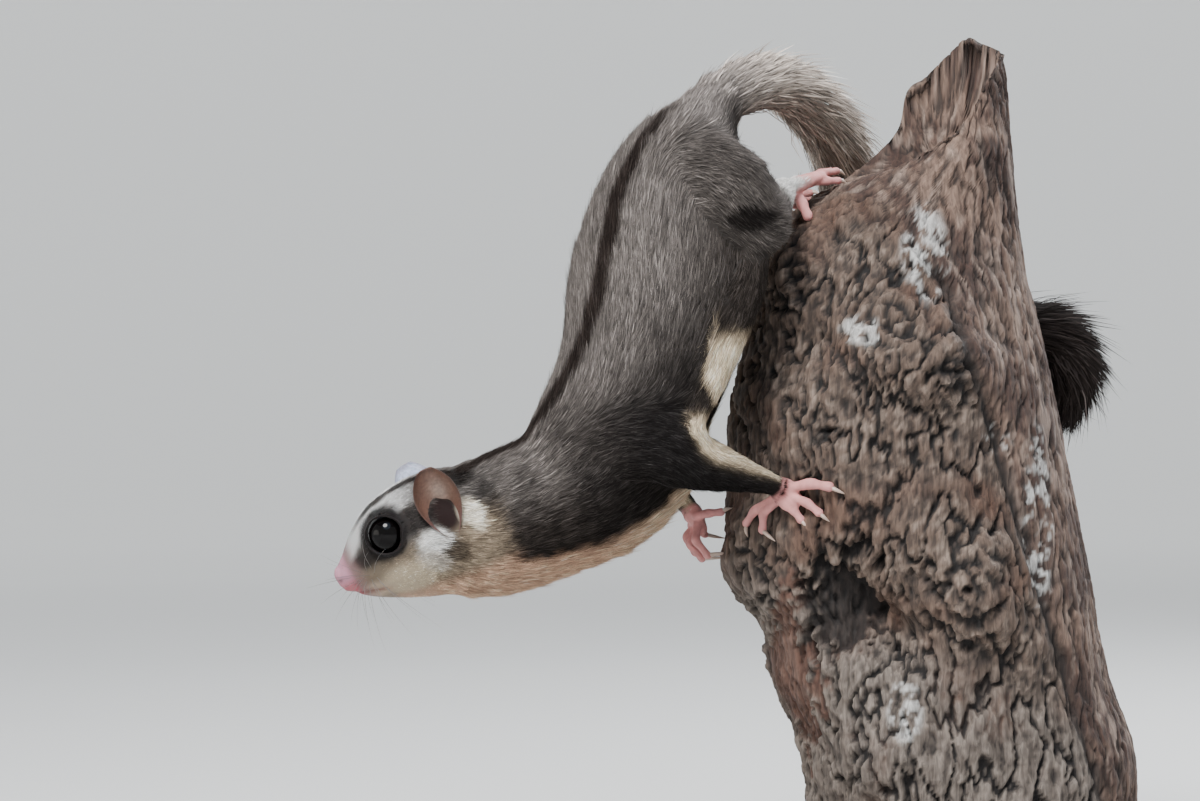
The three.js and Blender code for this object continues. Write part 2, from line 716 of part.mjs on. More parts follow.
// The locks of the whole tail, in staggered rows that overlap towards the tip.
const tailLocks = [];
for (let line = 0; line * LOCK_ROW < tailLength - LOCK_LENGTH * 0.6; line++)
  for (let k = 0; k < LOCKS_ROUND; k++) {
    const turn = ((k + (line % 2) / 2 + 0.12 * vary()) / LOCKS_ROUND) * 2 * Math.PI;
    const start = line * LOCK_ROW - LOCK_LENGTH * 0.3 + vary();
    tailLocks.push(lock(Math.max(0, start), turn, LOCK_LENGTH * (1 + 0.1 * vary())));
  }

// One length of the tail: its core and the locks that reach it, cut square at its ends.
function tailPart({ name, from, to }) {
  const last = TAIL_STATIONS.length - 1;
  const core = TAIL_STATIONS.slice(Math.max(0, from - 1), to + 2).map(({ at, size, back }) => ({
    at,
    size: size.clone().multiplyScalar(TAIL_CORE),
    back,
  }));
  const reached = tailLocks.filter((l) => l.to > from / last && l.from < to / last);
  let shape = join([
    solid(loft(core, { sides: 8, steps: 1, capRings: 0 })),
    ...reached.map((l) => l.shape),
  ]);
  const cut = (index, sign) => {
    const { centre, forward } = tailFrame(index / last);
    const normal = forward.clone().multiplyScalar(sign);
    shape = shape.trimByPlane(normal.toArray(), normal.dot(centre) + GAP / 2);
  };
  if (from > 0) cut(from, 1);
  if (to < last) cut(to, -1);
  return { name, shape };
}
const tailParts = TAIL_PARTS.map(tailPart);

// The stand
function plate() {
  const [x, y, r] = [STAND_LENGTH / 2, STAND_WIDTH / 2, STAND_CORNER];
  const outline = new THREE.Shape();
  outline.absarc(x - r, y - r, r, 0, Math.PI / 2);
  outline.absarc(-x + r, y - r, r, Math.PI / 2, Math.PI);
  outline.absarc(-x + r, -y + r, r, Math.PI, 1.5 * Math.PI);
  outline.absarc(x - r, -y + r, r, 1.5 * Math.PI, 2 * Math.PI);
  return new THREE.ExtrudeGeometry(outline, {
    depth: STAND_THICKNESS,
    bevelEnabled: false,
    curveSegments: 6,
  });
}
const RODS = [
  { name: "stand_rod_left", x: -10 },
  { name: "stand_rod_right", x: 32 },
];
function rod(x) {
  const length = SNAG_FOOT - STAND_THICKNESS - 2 * GAP;
  return new THREE.CylinderGeometry(ROD_RADIUS, ROD_RADIUS, length, 24)
    .rotateX(Math.PI / 2)
    .translate(x, 0, STAND_THICKNESS + GAP + length / 2);
}

// Every node, each carved by what it meets
node("perch_snag", snag, SNAG_WOOD);
node("stand_base", solid(plate()), STAND_WOOD);
for (const { name, x } of RODS) node(name, solid(rod(x)), ROD_STEEL);

node("head", head, FACE_FUR);
for (const eye of EYES) node(`eye_${eye.name}`, solid(ball(EYE_RADIUS, eye.at)), EYE_GLOSS);
const EARS = [
  {
    name: "ear_left",
    root: headPoint(36, 13.6, -3.5),
    tip: headPoint(38.6, 17.5, 16.2),
    out: HEAD_LEFT,
  },
  {
    name: "ear_right",
    root: headPoint(30.5, -13.6, -2),
    tip: headPoint(29, -18, 17),
    out: HEAD_LEFT.clone().negate(),
  },
];
for (const ear of EARS)
  node(ear.name, carve(solid(earGeometry(ear)), [headLoft.grown, neck.grown]), EAR_SKIN);
node("neck", carve(neck.shape, [headLoft.grown, torso.grown]), BACK_FUR);

node("torso", carve(torso.shape, [snagGrown]), BACK_FUR);
const paws = {
  hand_left: paw(HAND_LEFT),
  hand_right: paw(HAND_RIGHT),
  foot_left: paw(FOOT_LEFT),
  foot_right: paw(FOOT_RIGHT),
};
node("upper_arm_left", carve(upperArmLeft.shape, [torso.grown, neck.grown, snagGrown]), BACK_FUR);
node(
  "forearm_left",
  carve(forearmLeft.shape, [torso.grown, upperArmLeft.grown, snagGrown]),
  BACK_FUR,
);
node("upper_arm_right", carve(upperArmRight.shape, [torso.grown, neck.grown]), BACK_FUR);
node(
  "forearm_right",
  carve(forearmRight.shape, [torso.grown, neck.grown, upperArmRight.grown]),
  BACK_FUR,
);
node("thigh_left", carve(thighLeft.shape, [torso.grown, snagGrown]), BACK_FUR);
node("shin_left", carve(shinLeft.shape, [torso.grown, thighLeft.grown, snagGrown]), BACK_FUR);
node("thigh_right", carve(thighRight.shape, [torso.grown, snagGrown]), BACK_FUR);
node("shin_right", carve(shinRight.shape, [torso.grown, thighRight.grown, snagGrown]), BACK_FUR);
node("hand_left", carve(paws.hand_left, [forearmLeft.grown, snagGrown]), PINK_SKIN);
node("hand_right", carve(paws.hand_right, [forearmRight.grown, snagGrown, torso.grown]), PINK_SKIN);
node("foot_left", carve(paws.foot_left, [shinLeft.grown, snagGrown]), PINK_SKIN);
node("foot_right", carve(paws.foot_right, [shinRight.grown, snagGrown]), PINK_SKIN);
node(
  "patagium_left",
  carve(join(patagiumLeft.map((p) => p.shape)), [
    torso.grown, thighLeft.grown, shinLeft.grown, upperArmLeft.grown, forearmLeft.grown, snagGrown,
  ]),
  BELLY_FUR,
);
node(
  "patagium_right",
  carve(patagiumRight.shape, [torso.grown, thighRight.grown, shinRight.grown, upperArmRight.grown]),
  BELLY_FUR,
);
for (const { name, shape } of tailParts) {
  const material = name === "tail_tip" ? TAIL_TIP_FUR : TAIL_FUR;
  node(name, carve(shape, [torso.grown, snagGrown, thighLeft.grown]), material);
}

export default model;
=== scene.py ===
"""A sugar glider head down on a broken snag: its skin, coat, paws and eyes, the bark and the stand."""

import math

import bmesh
import bpy
import numpy as np
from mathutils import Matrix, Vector, noise


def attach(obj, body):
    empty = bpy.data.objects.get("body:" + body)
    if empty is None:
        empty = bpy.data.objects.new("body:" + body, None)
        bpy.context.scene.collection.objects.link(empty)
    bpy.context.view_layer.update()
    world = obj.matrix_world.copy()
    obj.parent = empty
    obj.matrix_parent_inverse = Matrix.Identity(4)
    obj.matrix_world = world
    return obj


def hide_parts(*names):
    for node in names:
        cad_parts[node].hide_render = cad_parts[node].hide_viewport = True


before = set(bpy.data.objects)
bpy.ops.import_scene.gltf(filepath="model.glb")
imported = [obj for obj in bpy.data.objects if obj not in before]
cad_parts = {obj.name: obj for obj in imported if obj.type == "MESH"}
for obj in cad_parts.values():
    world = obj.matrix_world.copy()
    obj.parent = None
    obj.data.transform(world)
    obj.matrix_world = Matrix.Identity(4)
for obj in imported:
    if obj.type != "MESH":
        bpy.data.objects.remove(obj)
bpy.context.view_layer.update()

MM = 0.001
rng = np.random.default_rng(11)

# Sizes in millimetres, in the frame's axes
EYE_RADIUS = 5.5
VOXEL = 0.45
SKIN_SHARE = 0.33
TUFT_PATCH = 0.003
PIECE_TRIANGLES = 196000
SHORT_TUFTS = 290000
TAIL_TUFTS = 27000
GUARD_SHARE = 0.05
PALE_SHARE = 0.22
TAIL_CORE = 5.0
SKIN_GROWTH = 0.28
SKIN_SINK = 0.72
SHARE_FALL = 9

# Colours, as linear light
BACK = (0.093, 0.081, 0.074)
FLANK = (0.024, 0.0195, 0.017)
DARK = (0.0045, 0.0035, 0.0032)
ARM = (0.012, 0.0105, 0.0100)
CREAM = (0.66, 0.52, 0.36)
PEACH = (0.50, 0.31, 0.21)
WHITE = (0.72, 0.70, 0.66)
CHEEK = (0.20, 0.155, 0.11)
FOREHEAD = (0.085, 0.076, 0.070)
BROW = (0.56, 0.55, 0.54)
STRIPE = (0.010, 0.0065, 0.0052)
EAR_INSIDE = (0.016, 0.007, 0.006)
TAIL = (0.36, 0.305, 0.26)
TAIL_ARCH_SHADE = (0.17, 0.105, 0.07)
TAIL_TIP = (0.020, 0.0155, 0.0140)
PINK = (0.56, 0.25, 0.235)
NOSE_PINK = (0.37, 0.185, 0.235)
MOUTH_RED = (0.30, 0.07, 0.075)

# The body's line from the nose to the rump: place, radius, and the way the back faces
BODY = [
    ((-168, -22, 95.8), 3.5, (-0.49, -0.1, 0.87)),
    ((-161, -22.6, 99.8), 8, (-0.49, -0.1, 0.87)),
    ((-152, -23.3, 104.8), 13, (-0.49, -0.1, 0.87)),
    ((-143, -24, 109.5), 17, (-0.47, -0.12, 0.87)),
    ((-132, -24.5, 109), 18, (-0.43, -0.15, 0.89)),
    ((-121.5, -24, 111.5), 19, (-0.47, -0.2, 0.86)),
    ((-112, -24, 115.5), 20, (-0.55, -0.28, 0.78)),
    ((-101.5, -24, 122), 22, (-0.64, -0.35, 0.68)),
    ((-93, -25, 133), 23, (-0.74, -0.45, 0.48)),
    ((-87.5, -27, 145.5), 23, (-0.78, -0.52, 0.32)),
    ((-83, -29, 158), 25, (-0.75, -0.62, 0.2)),
    ((-80, -30, 170.5), 26, (-0.72, -0.68, 0.1)),
    ((-78.5, -30, 183), 26, (-0.7, -0.7, 0.05)),
    ((-77.5, -30, 195.5), 23, (-0.7, -0.7, 0.15)),
    ((-74.5, -28, 208), 19, (-0.62, -0.66, 0.4)),
    ((-69.5, -22, 218), 14, (-0.55, -0.55, 0.62)),
    ((-66, -17, 226), 9, (-0.5, -0.4, 0.75)),
]
TAIL_SIDE = (0.6, -0.8, 0.1)
TAIL_LINE = [
    ((-66, -17, 226), 8.5), ((-58, -11, 232.5), 9.6), ((-48.5, -1, 236), 10),
    ((-38.5, 11, 233.5), 10.2), ((-29.5, 22, 225.5), 10), ((-23, 32, 213), 9.8),
    ((-16, 41, 198), 9.8), ((-4, 48, 183), 9.8), ((11, 53, 172), 9.6),
    ((27, 55, 167.5), 9.4), ((39, 54, 165.5), 9), ((45.5, 52, 157.5), 8.4),
    ((45, 51, 148.5), 5.4), ((42.5, 50.5, 142.5), 2),
]
LIMBS = {
    "arm_left": [
        ((-100, -33, 132), 13), ((-88, -40, 135.5), 13), ((-76, -44, 134), 11),
        ((-66, -43, 127.5), 7.5), ((-55, -40, 124.2), 4.7), ((-47.5, -37.5, 122), 3.1),
    ],
    "arm_right": [
        ((-103, -12, 131), 10), ((-96, 0, 135), 9), ((-91, 8, 134), 8),
        ((-82, 4, 126), 5.7), ((-75, 0, 119.5), 3.7), ((-71, -2, 115.5), 3),
    ],
    "leg_left": [
        ((-70, -38, 207), 13), ((-60, -44, 201), 13), ((-52, -47, 193.5), 9),
        ((-48, -36, 199.5), 6), ((-44.5, -25, 204), 3.9),
    ],
    "leg_right": [
        ((-80, -14, 209), 12), ((-85, -6, 206), 11.5), ((-86, 2, 202), 8.5),
        ((-68, 10, 204), 5.2), ((-52, 15, 204.5), 3.5),
    ],
    "membrane_left": [
        ((-51, -47, 187), 5), ((-54, -48, 176), 6), ((-60, -47, 163), 6),
        ((-65, -46, 150), 5.5), ((-69, -47, 141), 4.8), ((-70, -48, 138), 4.4),
        ((-66, -46, 131.5), 4.2), ((-57, -42, 127.5), 3.4), ((-49, -38.5, 124.5), 2.4),
    ],
    "membrane_right": [
        ((-91, -6, 201), 5), ((-97.5, -11, 190), 6), ((-100, -12, 174), 6),
        ((-99.5, -7, 158), 5.5), ((-97, 2, 142), 4),
    ],
}

# The head's own frame
NOSE_TIP = np.array((-169, -22, 95.5))
HEAD_BACK = np.array((0.868, -0.07, 0.49))
HEAD_BACK /= np.linalg.norm(HEAD_BACK)
HEAD_UP = np.array((-0.49, -0.1, 0.87))
HEAD_UP -= HEAD_BACK * (HEAD_UP @ HEAD_BACK)
HEAD_UP /= np.linalg.norm(HEAD_UP)
HEAD_LEFT = np.cross(HEAD_BACK, HEAD_UP)


def head_point(back, left, up):
    return NOSE_TIP + HEAD_BACK * back + HEAD_LEFT * left + HEAD_UP * up


EYE_FRONT = (19.6, 12.0, 5.2)
NOSTRIL = (0.9, 1.9, -0.7)
EYES = {"left": head_point(19.6, 9.6, 5.2), "right": head_point(19.6, -9.6, 5.2)}


# Helpers on arrays

def unit(v):
    return v / np.maximum(np.linalg.norm(v, axis=-1, keepdims=True), 1e-9)


def smooth(x, low, high):
    t = np.clip((x - low) / (high - low), 0, 1)
    return t * t * (3 - 2 * t)


def bell(x, width=1.0):
    """1 at 0, falling smoothly to either side."""
    return np.exp(-((x / width) ** 2))


def reach(points, centre, radii):
    """Distance from a centre, counted in the radii of an ellipsoid."""
    return np.linalg.norm((points - np.array(centre)) / np.array(radii), axis=1)


def mix(a, b, t):
    a, b = np.broadcast_arrays(np.asarray(a, float), np.asarray(b, float))
    return a + (b - a) * np.asarray(t)[..., None]


def noise_at(points, size, seed=0, octaves=3):
    """Smooth noise from about -1 to 1 at points in millimetres, with features of that size."""
    shift = Vector((seed * 17.3, seed * 5.1, seed * 9.7))
    return np.array([
        noise.fractal(Vector(p) / size + shift, 0.8, 2.0, octaves) for p in points.tolist()
    ])


def placed(name, data):
    """An object of that data, in the scene."""
    obj = bpy.data.objects.new(name, data)
    bpy.context.scene.collection.objects.link(obj)
    return obj


def new_mesh(name, verts, faces):
    """An object from arrays in millimetres."""
    mesh = bpy.data.meshes.new(name)
    mesh.vertices.add(len(verts))
    mesh.vertices.foreach_set("co", (np.asarray(verts, np.float32) * MM).ravel())
    faces = np.asarray(faces, np.int32)
    side = faces.shape[1]
    mesh.loops.add(faces.size)
    mesh.loops.foreach_set("vertex_index", faces.ravel())
    mesh.polygons.add(len(faces))
    mesh.polygons.foreach_set("loop_start", np.arange(0, faces.size, side, dtype=np.int32))
    mesh.update(calc_edges=True)
    mesh.validate()
    return placed(name, mesh)


def paint(obj, colours):
    """Vertex colours, kept as a colour attribute named Coat."""
    attribute = obj.data.color_attributes.new("Coat", "FLOAT_COLOR", "POINT")
    rgba = np.ones((len(colours), 4), np.float32)
    rgba[:, :3] = np.clip(colours, 0, 1)
    attribute.data.foreach_set("color", rgba.ravel())


def smooth_shade(obj):
    obj.data.polygons.foreach_set("use_smooth", np.ones(len(obj.data.polygons), bool))


def finished(obj, mat, slot_name, *nodes):
    """Gives a piece its material, its place on the part and the nodes it stands for; slot_name is not
    used.
    """
    obj.data.materials.append(mat)
    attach(obj, "root")
    if nodes:
        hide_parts(*nodes)
    return obj


# Lines through the body, and where a point lies along them

class Line:
    """A smooth line through places with a radius and an up direction at each."""

    def __init__(self, rows, up=None, steps=5):
        places = np.array([r[0] for r in rows], float)
        radii = np.array([r[1] for r in rows], float)
        ups = np.array([r[2] if len(r) > 2 else up for r in rows], float)
        t = np.linspace(0, len(rows) - 1, (len(rows) - 1) * steps + 1)
        self.places = self.through(places, t)
        self.radii = np.interp(t, np.arange(len(rows)), radii)
        self.ups = np.stack([np.interp(t, np.arange(len(rows)), ups[:, k]) for k in range(3)], 1)
        gaps = np.linalg.norm(np.diff(self.places, axis=0), axis=1)
        self.far = np.concatenate([[0], np.cumsum(gaps)])
        self.length = self.far[-1]
        self.tangents = unit(np.gradient(self.places, axis=0))
        self.lefts = unit(np.cross(self.tangents, self.ups))
        self.ups = np.cross(self.lefts, self.tangents)

    @staticmethod
    def through(points, t):
        """A Catmull-Rom curve through points, at t."""
        i = np.clip(t.astype(int), 0, len(points) - 2)
        f = (t - i)[:, None]
        p1, p2 = points[i], points[i + 1]
        p0 = np.where(i[:, None] > 0, points[i - 1], 2 * p1 - p2)
        last = (i + 2 < len(points))[:, None]
        p3 = np.where(last, points[np.minimum(i + 2, len(points) - 1)], 2 * p2 - p1)
        return 0.5 * (
            2 * p1 + (p2 - p0) * f + (2 * p0 - 5 * p1 + 4 * p2 - p3) * f * f
            + (3 * p1 - p0 - 3 * p2 + p3) * f ** 3
        )

    def at(self, far):
        """Place, radius, tangent, left and up at distances along the line."""
        pick = lambda a: np.stack([np.interp(far, self.far, a[:, k]) for k in range(3)], -1)
        return (
            pick(self.places), np.interp(far, self.far, self.radii),
            unit(pick(self.tangents)), unit(pick(self.lefts)), unit(pick(self.ups)),
        )

    def nearest(self, points):
        """Distance along the line to each point's nearest place, and the distance to it."""
        best = np.full(len(points), 1e9)
        far = np.zeros(len(points))
        for i in range(len(self.places) - 1):
            a, b = self.places[i], self.places[i + 1]
            ab = b - a
            t = np.clip((points - a) @ ab / (ab @ ab), 0, 1)
            d = np.linalg.norm(points - (a + t[:, None] * ab), axis=1)
            closer = d < best
            best[closer] = d[closer]
            far[closer] = (self.far[i] + t * (self.far[i + 1] - self.far[i]))[closer]
        return far, best


LINES = {"body": Line(BODY), "tail": Line(TAIL_LINE, TAIL_SIDE)}
LIMB_UP = {
    "arm_left": (0.1, -0.95, 0.2), "arm_right": (-0.3, 0.9, 0.2), "leg_left": (0.3, -0.9, 0.1),
    "leg_right": (-0.6, 0.7, 0.1), "membrane_left": (0.75, -0.3, 0.2),
    "membrane_right": (-0.8, 0.3, 0),
}
for limb, rows in LIMBS.items():
    LINES[limb] = Line(rows, LIMB_UP[limb])
NAMES = list(LINES)


def survey(points):
    """How far along each line a point lies, how far off and round it, and each line's share of it."""
    shape = (len(NAMES), len(points))
    far, off, turn, score = (np.zeros(shape) for _ in range(4))
    tangents = np.zeros((*shape, 3))
    for k, name in enumerate(NAMES):
        far[k], off[k] = LINES[name].nearest(points)
        place, radius, tangents[k], left, up = LINES[name].at(far[k])
        out = points - place
        turn[k] = np.arctan2((out * left).sum(1), (out * up).sum(1))
        score[k] = off[k] / radius
    share = np.exp(-SHARE_FALL * (score - score.min(0)))
    share /= share.sum(0)
    flow = unit((share[..., None] * tangents).sum(0))
    return {"part": score.argmin(0), "far": far, "off": off, "turn": turn, "share": share, "flow": flow}


def line_of(found, name):
    """Distance along one line, round it, off it, and its share."""
    k = NAMES.index(name)
    return found["far"][k], found["turn"][k], found["off"][k], found["share"][k]


# Where the markings are, as places on the left side that are mirrored to the right

def mirrored(points):
    """The points' places in the head's frame, with left made positive."""
    rel = points - NOSE_TIP
    return np.stack([rel @ HEAD_BACK, np.abs(rel @ HEAD_LEFT), rel @ HEAD_UP], 1)


def spot(points, centre, radii):
    """1 at a centre, falling to 0 at the rim of an ellipsoid and beyond."""
    return 1 - smooth(reach(points, centre, radii), 0.6, 1.15)


def coat_colours(points, found):
    """The coat's markings at points, and a dark patch on the left thigh that is partly painted shadow,
    before each tuft's own variation.
    """
    wobble = noise_at(points, 4.0, 1)
    broad = noise_at(points, 16.0, 2, 2)
    total = np.zeros((len(points), 3))
    for name, rule in RULES.items():
        far, turn, off, share = line_of(found, name)
        total += share[:, None] * rule(points, far, turn, off, wobble, broad)
    # The dark patch on the left thigh: partly a dark mark of the fur, partly painted shadow.
    return mix(total, DARK, 0.9 * spot(points, (-56.5, -53, 196.2), (8.5, 10, 4.4)))


def body_colour(points, far, turn, off, wobble, broad):
    """Grey-brown above, darker down the flank, cream below, with a stripe along the back."""
    rolled, turn = np.abs(turn - np.interp(far, [30, 60], [0.24, 0.0])), np.abs(turn)
    side = smooth(turn + 0.10 * wobble + 0.22 * broad, 0.65, 1.75)
    colour = mix(BACK, FLANK, side)
    shoulder = smooth(far, 62, 75) * (1 - smooth(far, 105, 140)) * smooth(turn, 0.5, 1.2)
    colour = mix(colour, ARM, 0.6 * shoulder)
    colour = mix(colour, np.array(BACK) * 1.7, smooth(far, 165, 192) * (1 - smooth(turn, 1.0, 1.7)))
    colour = colour * (1 + 0.16 * broad[:, None] + 0.08 * wobble[:, None])
    parting = np.abs(noise_at(points * np.array((1.0, 0.5, 0.35)), 5.0, 6, 2))
    parting = (1 - smooth(parting, 0.02, 0.16)) * smooth(far, 46, 56) * (1 - 0.6 * smooth(far, 90, 118))
    colour = mix(colour, DARK, 0.6 * parting * smooth(turn, 0.35, 0.8))
    under = mix(PEACH, CREAM, smooth(far, 60, 100))
    line = np.interp(far, [30, 50, 75, 95], [1.75, 1.95, 2.25, 2.35])
    colour = mix(colour, under, smooth(turn + 0.10 * wobble - line, 0, 0.3) * (far > 26))
    on_head = 1 - smooth(far + 1.2 * wobble, 42, 50)
    colour = mix(colour, head_colours(points), on_head)
    width = np.interp(far, [6, 20, 40, 60, 150, 172, 190], [0.8, 1.8, 2.4, 2.6, 2.6, 1.9, 0.0])
    stripe = 1 - smooth(off * rolled + 0.6 * wobble, width * 0.7, width * 1.5 + 0.4)
    stripe *= (1 - smooth(far, 165, 192)) * smooth(far, 6, 15)
    colour = mix(colour, STRIPE, 0.93 * stripe)
    return neck_marks(points, colour)


def arm_colour(points, far, turn, off, wobble, broad):
    """Charcoal, with a pale inner side."""
    turn = np.abs(turn)
    colour = mix(mix(FLANK, ARM, 0.6), ARM, smooth(far, 5, 25)) * (1 + 0.2 * broad[:, None])
    return mix(colour, CREAM, 0.8 * smooth(turn, 2.2, 2.8))


def leg_colour(points, far, turn, off, wobble, broad):
    """Grey-brown at the thigh, pale towards the foot."""
    turn = np.abs(turn)
    colour = mix(mix(BACK, FLANK, 0.45), WHITE, 0.6 * smooth(far, 33, 44))
    colour = colour * (1 + 0.15 * broad[:, None])
    return mix(colour, WHITE, 0.6 * smooth(turn, 2.0, 2.6))


def near_membrane_colour(points, far, turn, off, wobble, broad):
    """Dark above, and a cream edge from the flank down to the wrist."""
    low = 1 - smooth(points[:, 2] + wobble, 160, 168)
    edge = smooth(points[:, 0] + 0.32 * (points[:, 2] - 150) + 0.6 * wobble, -66.5, -63.5)
    rope = 1 - smooth(points[:, 2], 138, 145)
    return mix(FLANK, CREAM, low * np.maximum(edge, rope))


def far_membrane_colour(points, far, turn, off, wobble, broad):
    """Grey-brown, with a cream edge."""
    turn = np.abs(turn)
    return mix(mix(BACK, FLANK, 0.6), CREAM, smooth(turn, 1.9, 2.5))


def tail_colour(points, far, turn, off, wobble, broad):
    """Pale grey, with painted shade in darker brown inside the arch, dark towards the tip."""
    length = LINES["tail"].length
    fur = mix(np.array(BACK) * 1.7, TAIL, smooth(far + 2 * wobble, 0, 24))
    # Painted shade: the underside inside the arch is painted darker and browner.
    fur = mix(fur, TAIL_ARCH_SHADE, 0.8 * smooth(np.abs(turn), 2.2, 2.9) * smooth(far, 20, 40))
    fur = fur * (1 + 0.12 * broad[:, None])
    return mix(fur, TAIL_TIP, smooth(far + 6 * wobble, 0.58 * length, 0.76 * length))


RULES = {
    "body": body_colour, "tail": tail_colour, "arm_left": arm_colour, "arm_right": arm_colour,
    "leg_left": leg_colour, "leg_right": leg_colour, "membrane_left": near_membrane_colour,
    "membrane_right": far_membrane_colour,
}


def head_colours(points):
    """The face: pale brow bands, black eye rings, cream cheeks and a pink nose."""
    head = mirrored(points)
    back, _, up = head.T
    wobble = noise_at(points, 3.0, 3)
    colour = mix(CHEEK, FOREHEAD, smooth(up + 0.8 * wobble, -4, 3))
    colour = mix(colour, mix(BACK, FOREHEAD, 0.4), smooth(back, 27, 38) * smooth(up, 4, 9))
    top = np.interp(back, [2, 8, 14, 20, 30], [2.5, 7.5, 11, 12.6, 13.2])
    band = smooth(up + 0.5 * wobble, top - 4.2, top - 2.2) * (1 - smooth(back, 23, 33))
    colour = mix(colour, BROW, 0.9 * band * smooth(back, 4, 8))
    colour = mix(colour, (0.50, 0.41, 0.29), 0.85 * spot(head, (19, 11, -8.5), (10.5, 8, 5.4)))
    colour = mix(colour, PEACH, 0.85 * smooth(-up - 0.10 * back + 0.9 * wobble, 9.0, 13.0))
    colour = mix(colour, (0.50, 0.38, 0.28), 0.7 * spot(head, (9, 5, -7.5), (7, 5, 3)))
    colour = mix(colour, WHITE, 0.9 * spot(head, (30.5, 15.5, -2.0), (5.4, 7, 3.8)))
    colour = mix(colour, WHITE, 0.3 * spot(head, (27.5, 14.5, -5.5), (4.5, 7, 5.5)))
    # Eye ring, drawn out towards the nose and the ear
    rim = reach(head, (18.8, 12, 6.2), (1, 1.4, 1))
    colour = mix(colour, DARK, 0.96 * (1 - smooth(rim + 0.5 * wobble, 6.6, 8.8)))
    colour = mix(colour, (0.012, 0.008, 0.007), 0.85 * spot(head, (11.5, 8.5, 1.8), (6.5, 5, 2.8)))
    colour = mix(colour, (0.016, 0.013, 0.012), 0.9 * spot(head, (28.5, 14.5, 5.5), (6.5, 7, 4.4)))
    colour = mix(colour, DARK, 0.75 * spot(head, (33.5, 16, -7.0), (4.4, 7, 3.8)))
    muzzle = 1 - smooth(back + 0.5 * wobble, 4.5, 9.5)
    colour = mix(colour, (0.26, 0.15, 0.15), 0.8 * muzzle)
    pink = mix(NOSE_PINK, MOUTH_RED, 0.8 * smooth(-up, 0.5, 4))
    colour = mix(colour, pink, 1 - smooth(back + 0.3 * wobble, 2.6, 5.2))
    return mix(colour, EAR_INSIDE, ear_hole(head))


def ear_hole(head):
    """1 where the skin shows inside the ear."""
    return spot(head, (36.8, 15.5, 3.2), (4.6, 7, 6.6))


def neck_marks(points, colour):
    """The pale patch behind the ear and the dark bands round it."""
    head = mirrored(points)
    colour = mix(colour, DARK, 0.9 * spot(head, (42.5, 12.5, 9.6), (6.5, 8, 3.0)))
    colour = mix(colour, DARK, 0.6 * spot(head, (47.5, 15, 1), (2.6, 8, 8)))
    return mix(colour, (0.68, 0.60, 0.47), 0.97 * spot(head, (42.2, 17.5, 0.2), (3.0, 7, 6.4)))


def bare(points):
    """1 on the bare skin of the nose and the lips, 0 in the coat."""
    head = mirrored(points)
    back, _, up = head.T
    lips = (1 - smooth(np.abs(up + 5.6 + 0.2 * back), 0.5, 1.1)) * (back < 13)
    nose = 1 - smooth(back, 2.6, 4.2)
    return np.maximum(np.maximum(nose, lips), ear_hole(head))


LIMB_COAT = {
    "arm_left": (4.4, 2.0), "arm_right": (4.2, 1.8), "leg_left": (5.2, 2.0),
    "leg_right": (5.0, 2.0), "membrane_left": (4.0, 2.0), "membrane_right": (4.0, 2.6),
}


def eye_gap(points):
    """Distance from a place 2.4 mm outside the middle of the nearer eye."""
    return np.linalg.norm(mirrored(points) - np.array(EYE_FRONT), axis=1)


def mouth_line(back):
    """Height of the line between the lips, in the head's frame."""
    return -5.3 - 0.27 * back


def coat_length(points, found):
    """How long the tufts are, in millimetres, and how far they stand off, in radians."""
    head_far = found["far"][0]
    body = np.interp(head_far, [0, 6, 14, 26, 40, 62, 190], [0.7, 0.9, 1.4, 2.0, 3.2, 4.8, 5.6])
    rise = np.interp(head_far, [0, 20, 62], [0.22, 0.26, 0.36])
    gap = eye_gap(points)
    body = np.where(gap < 10, np.minimum(body, 0.7 + 0.13 * gap), body)
    length = found["share"][0] * body
    lift = found["share"][0] * rise
    for name, (near, end) in LIMB_COAT.items():
        far, _, _, share = line_of(found, name)
        length += share * (near + (end - near) * far / LINES[name].length)
        lift += share * 0.32
    far, _, _, share = line_of(found, "tail")
    length += share * np.interp(far, [0, 10, 35], [6.0, 8.0, 13.0])
    lift += share * np.interp(far, [0, 10, 35], [0.32, 0.42, 0.58])
    return length, lift


# The snag, from the same profiles as its solid

def profile(rows):
    """A smooth curve through rows of place and value."""
    x, y = np.array(rows, float).T
    slope = np.gradient(y, x)

    def value(at):
        at = np.clip(at, x[0], x[-1])
        i = np.clip(np.searchsorted(x, at) - 1, 0, len(x) - 2)
        h = x[i + 1] - x[i]
        t = (at - x[i]) / h
        return (
            (2 * t**3 - 3 * t**2 + 1) * y[i] + (t**3 - 2 * t**2 + t) * h * slope[i]
            + (3 * t**2 - 2 * t**3) * y[i + 1] + (t**3 - t**2) * h * slope[i + 1]
        )

    return value


SNAG_FOOT = 28
CROWN_HUB = (2, 0, 212.0)
FOOT_HUB = (11, 0, SNAG_FOOT)
SNAG_LEFT = profile([
    (28, -36), (48, -38), (66, -46), (82, -50), (91, -57), (117, -58), (145, -57), (165, -53),
    (182, -48), (197, -41.5), (206, -30), (213, -20), (222, -11.5), (236, -9), (252, 1),
])
SNAG_RIGHT = profile([
    (28, 58), (45, 57), (66, 50), (94, 44.5), (117, 40), (140, 35.5), (166, 30), (186, 25.5),
    (223, 21.5), (243, 19.5), (252, 16),
])
SNAG_DEPTH = profile([
    (28, 42), (66, 42), (91, 46), (117, 46), (145, 44), (166, 41), (186, 36), (205, 29),
    (224, 20), (243, 12), (252, 7),
])
SNAG_RIM = profile([
    (0, 245), (45, 248), (80, 250), (105, 245), (125, 239), (150, 233), (165, 221), (180, 209),
    (225, 208), (270, 223), (315, 240), (360, 245),
])
# Angle round the snag, height, spread and rise
KNOTS = [
    (218, 180, 13, 7), (262, 158, 15, 6), (284, 154, 14, 9), (285, 94, 15, 7), (232, 137, 14, 3),
    (236, 44, 16, 7), (196, 104, 13, 2), (250, 88, 15, -13), (60, 120, 22, 5), (120, 70, 20, 6),
]


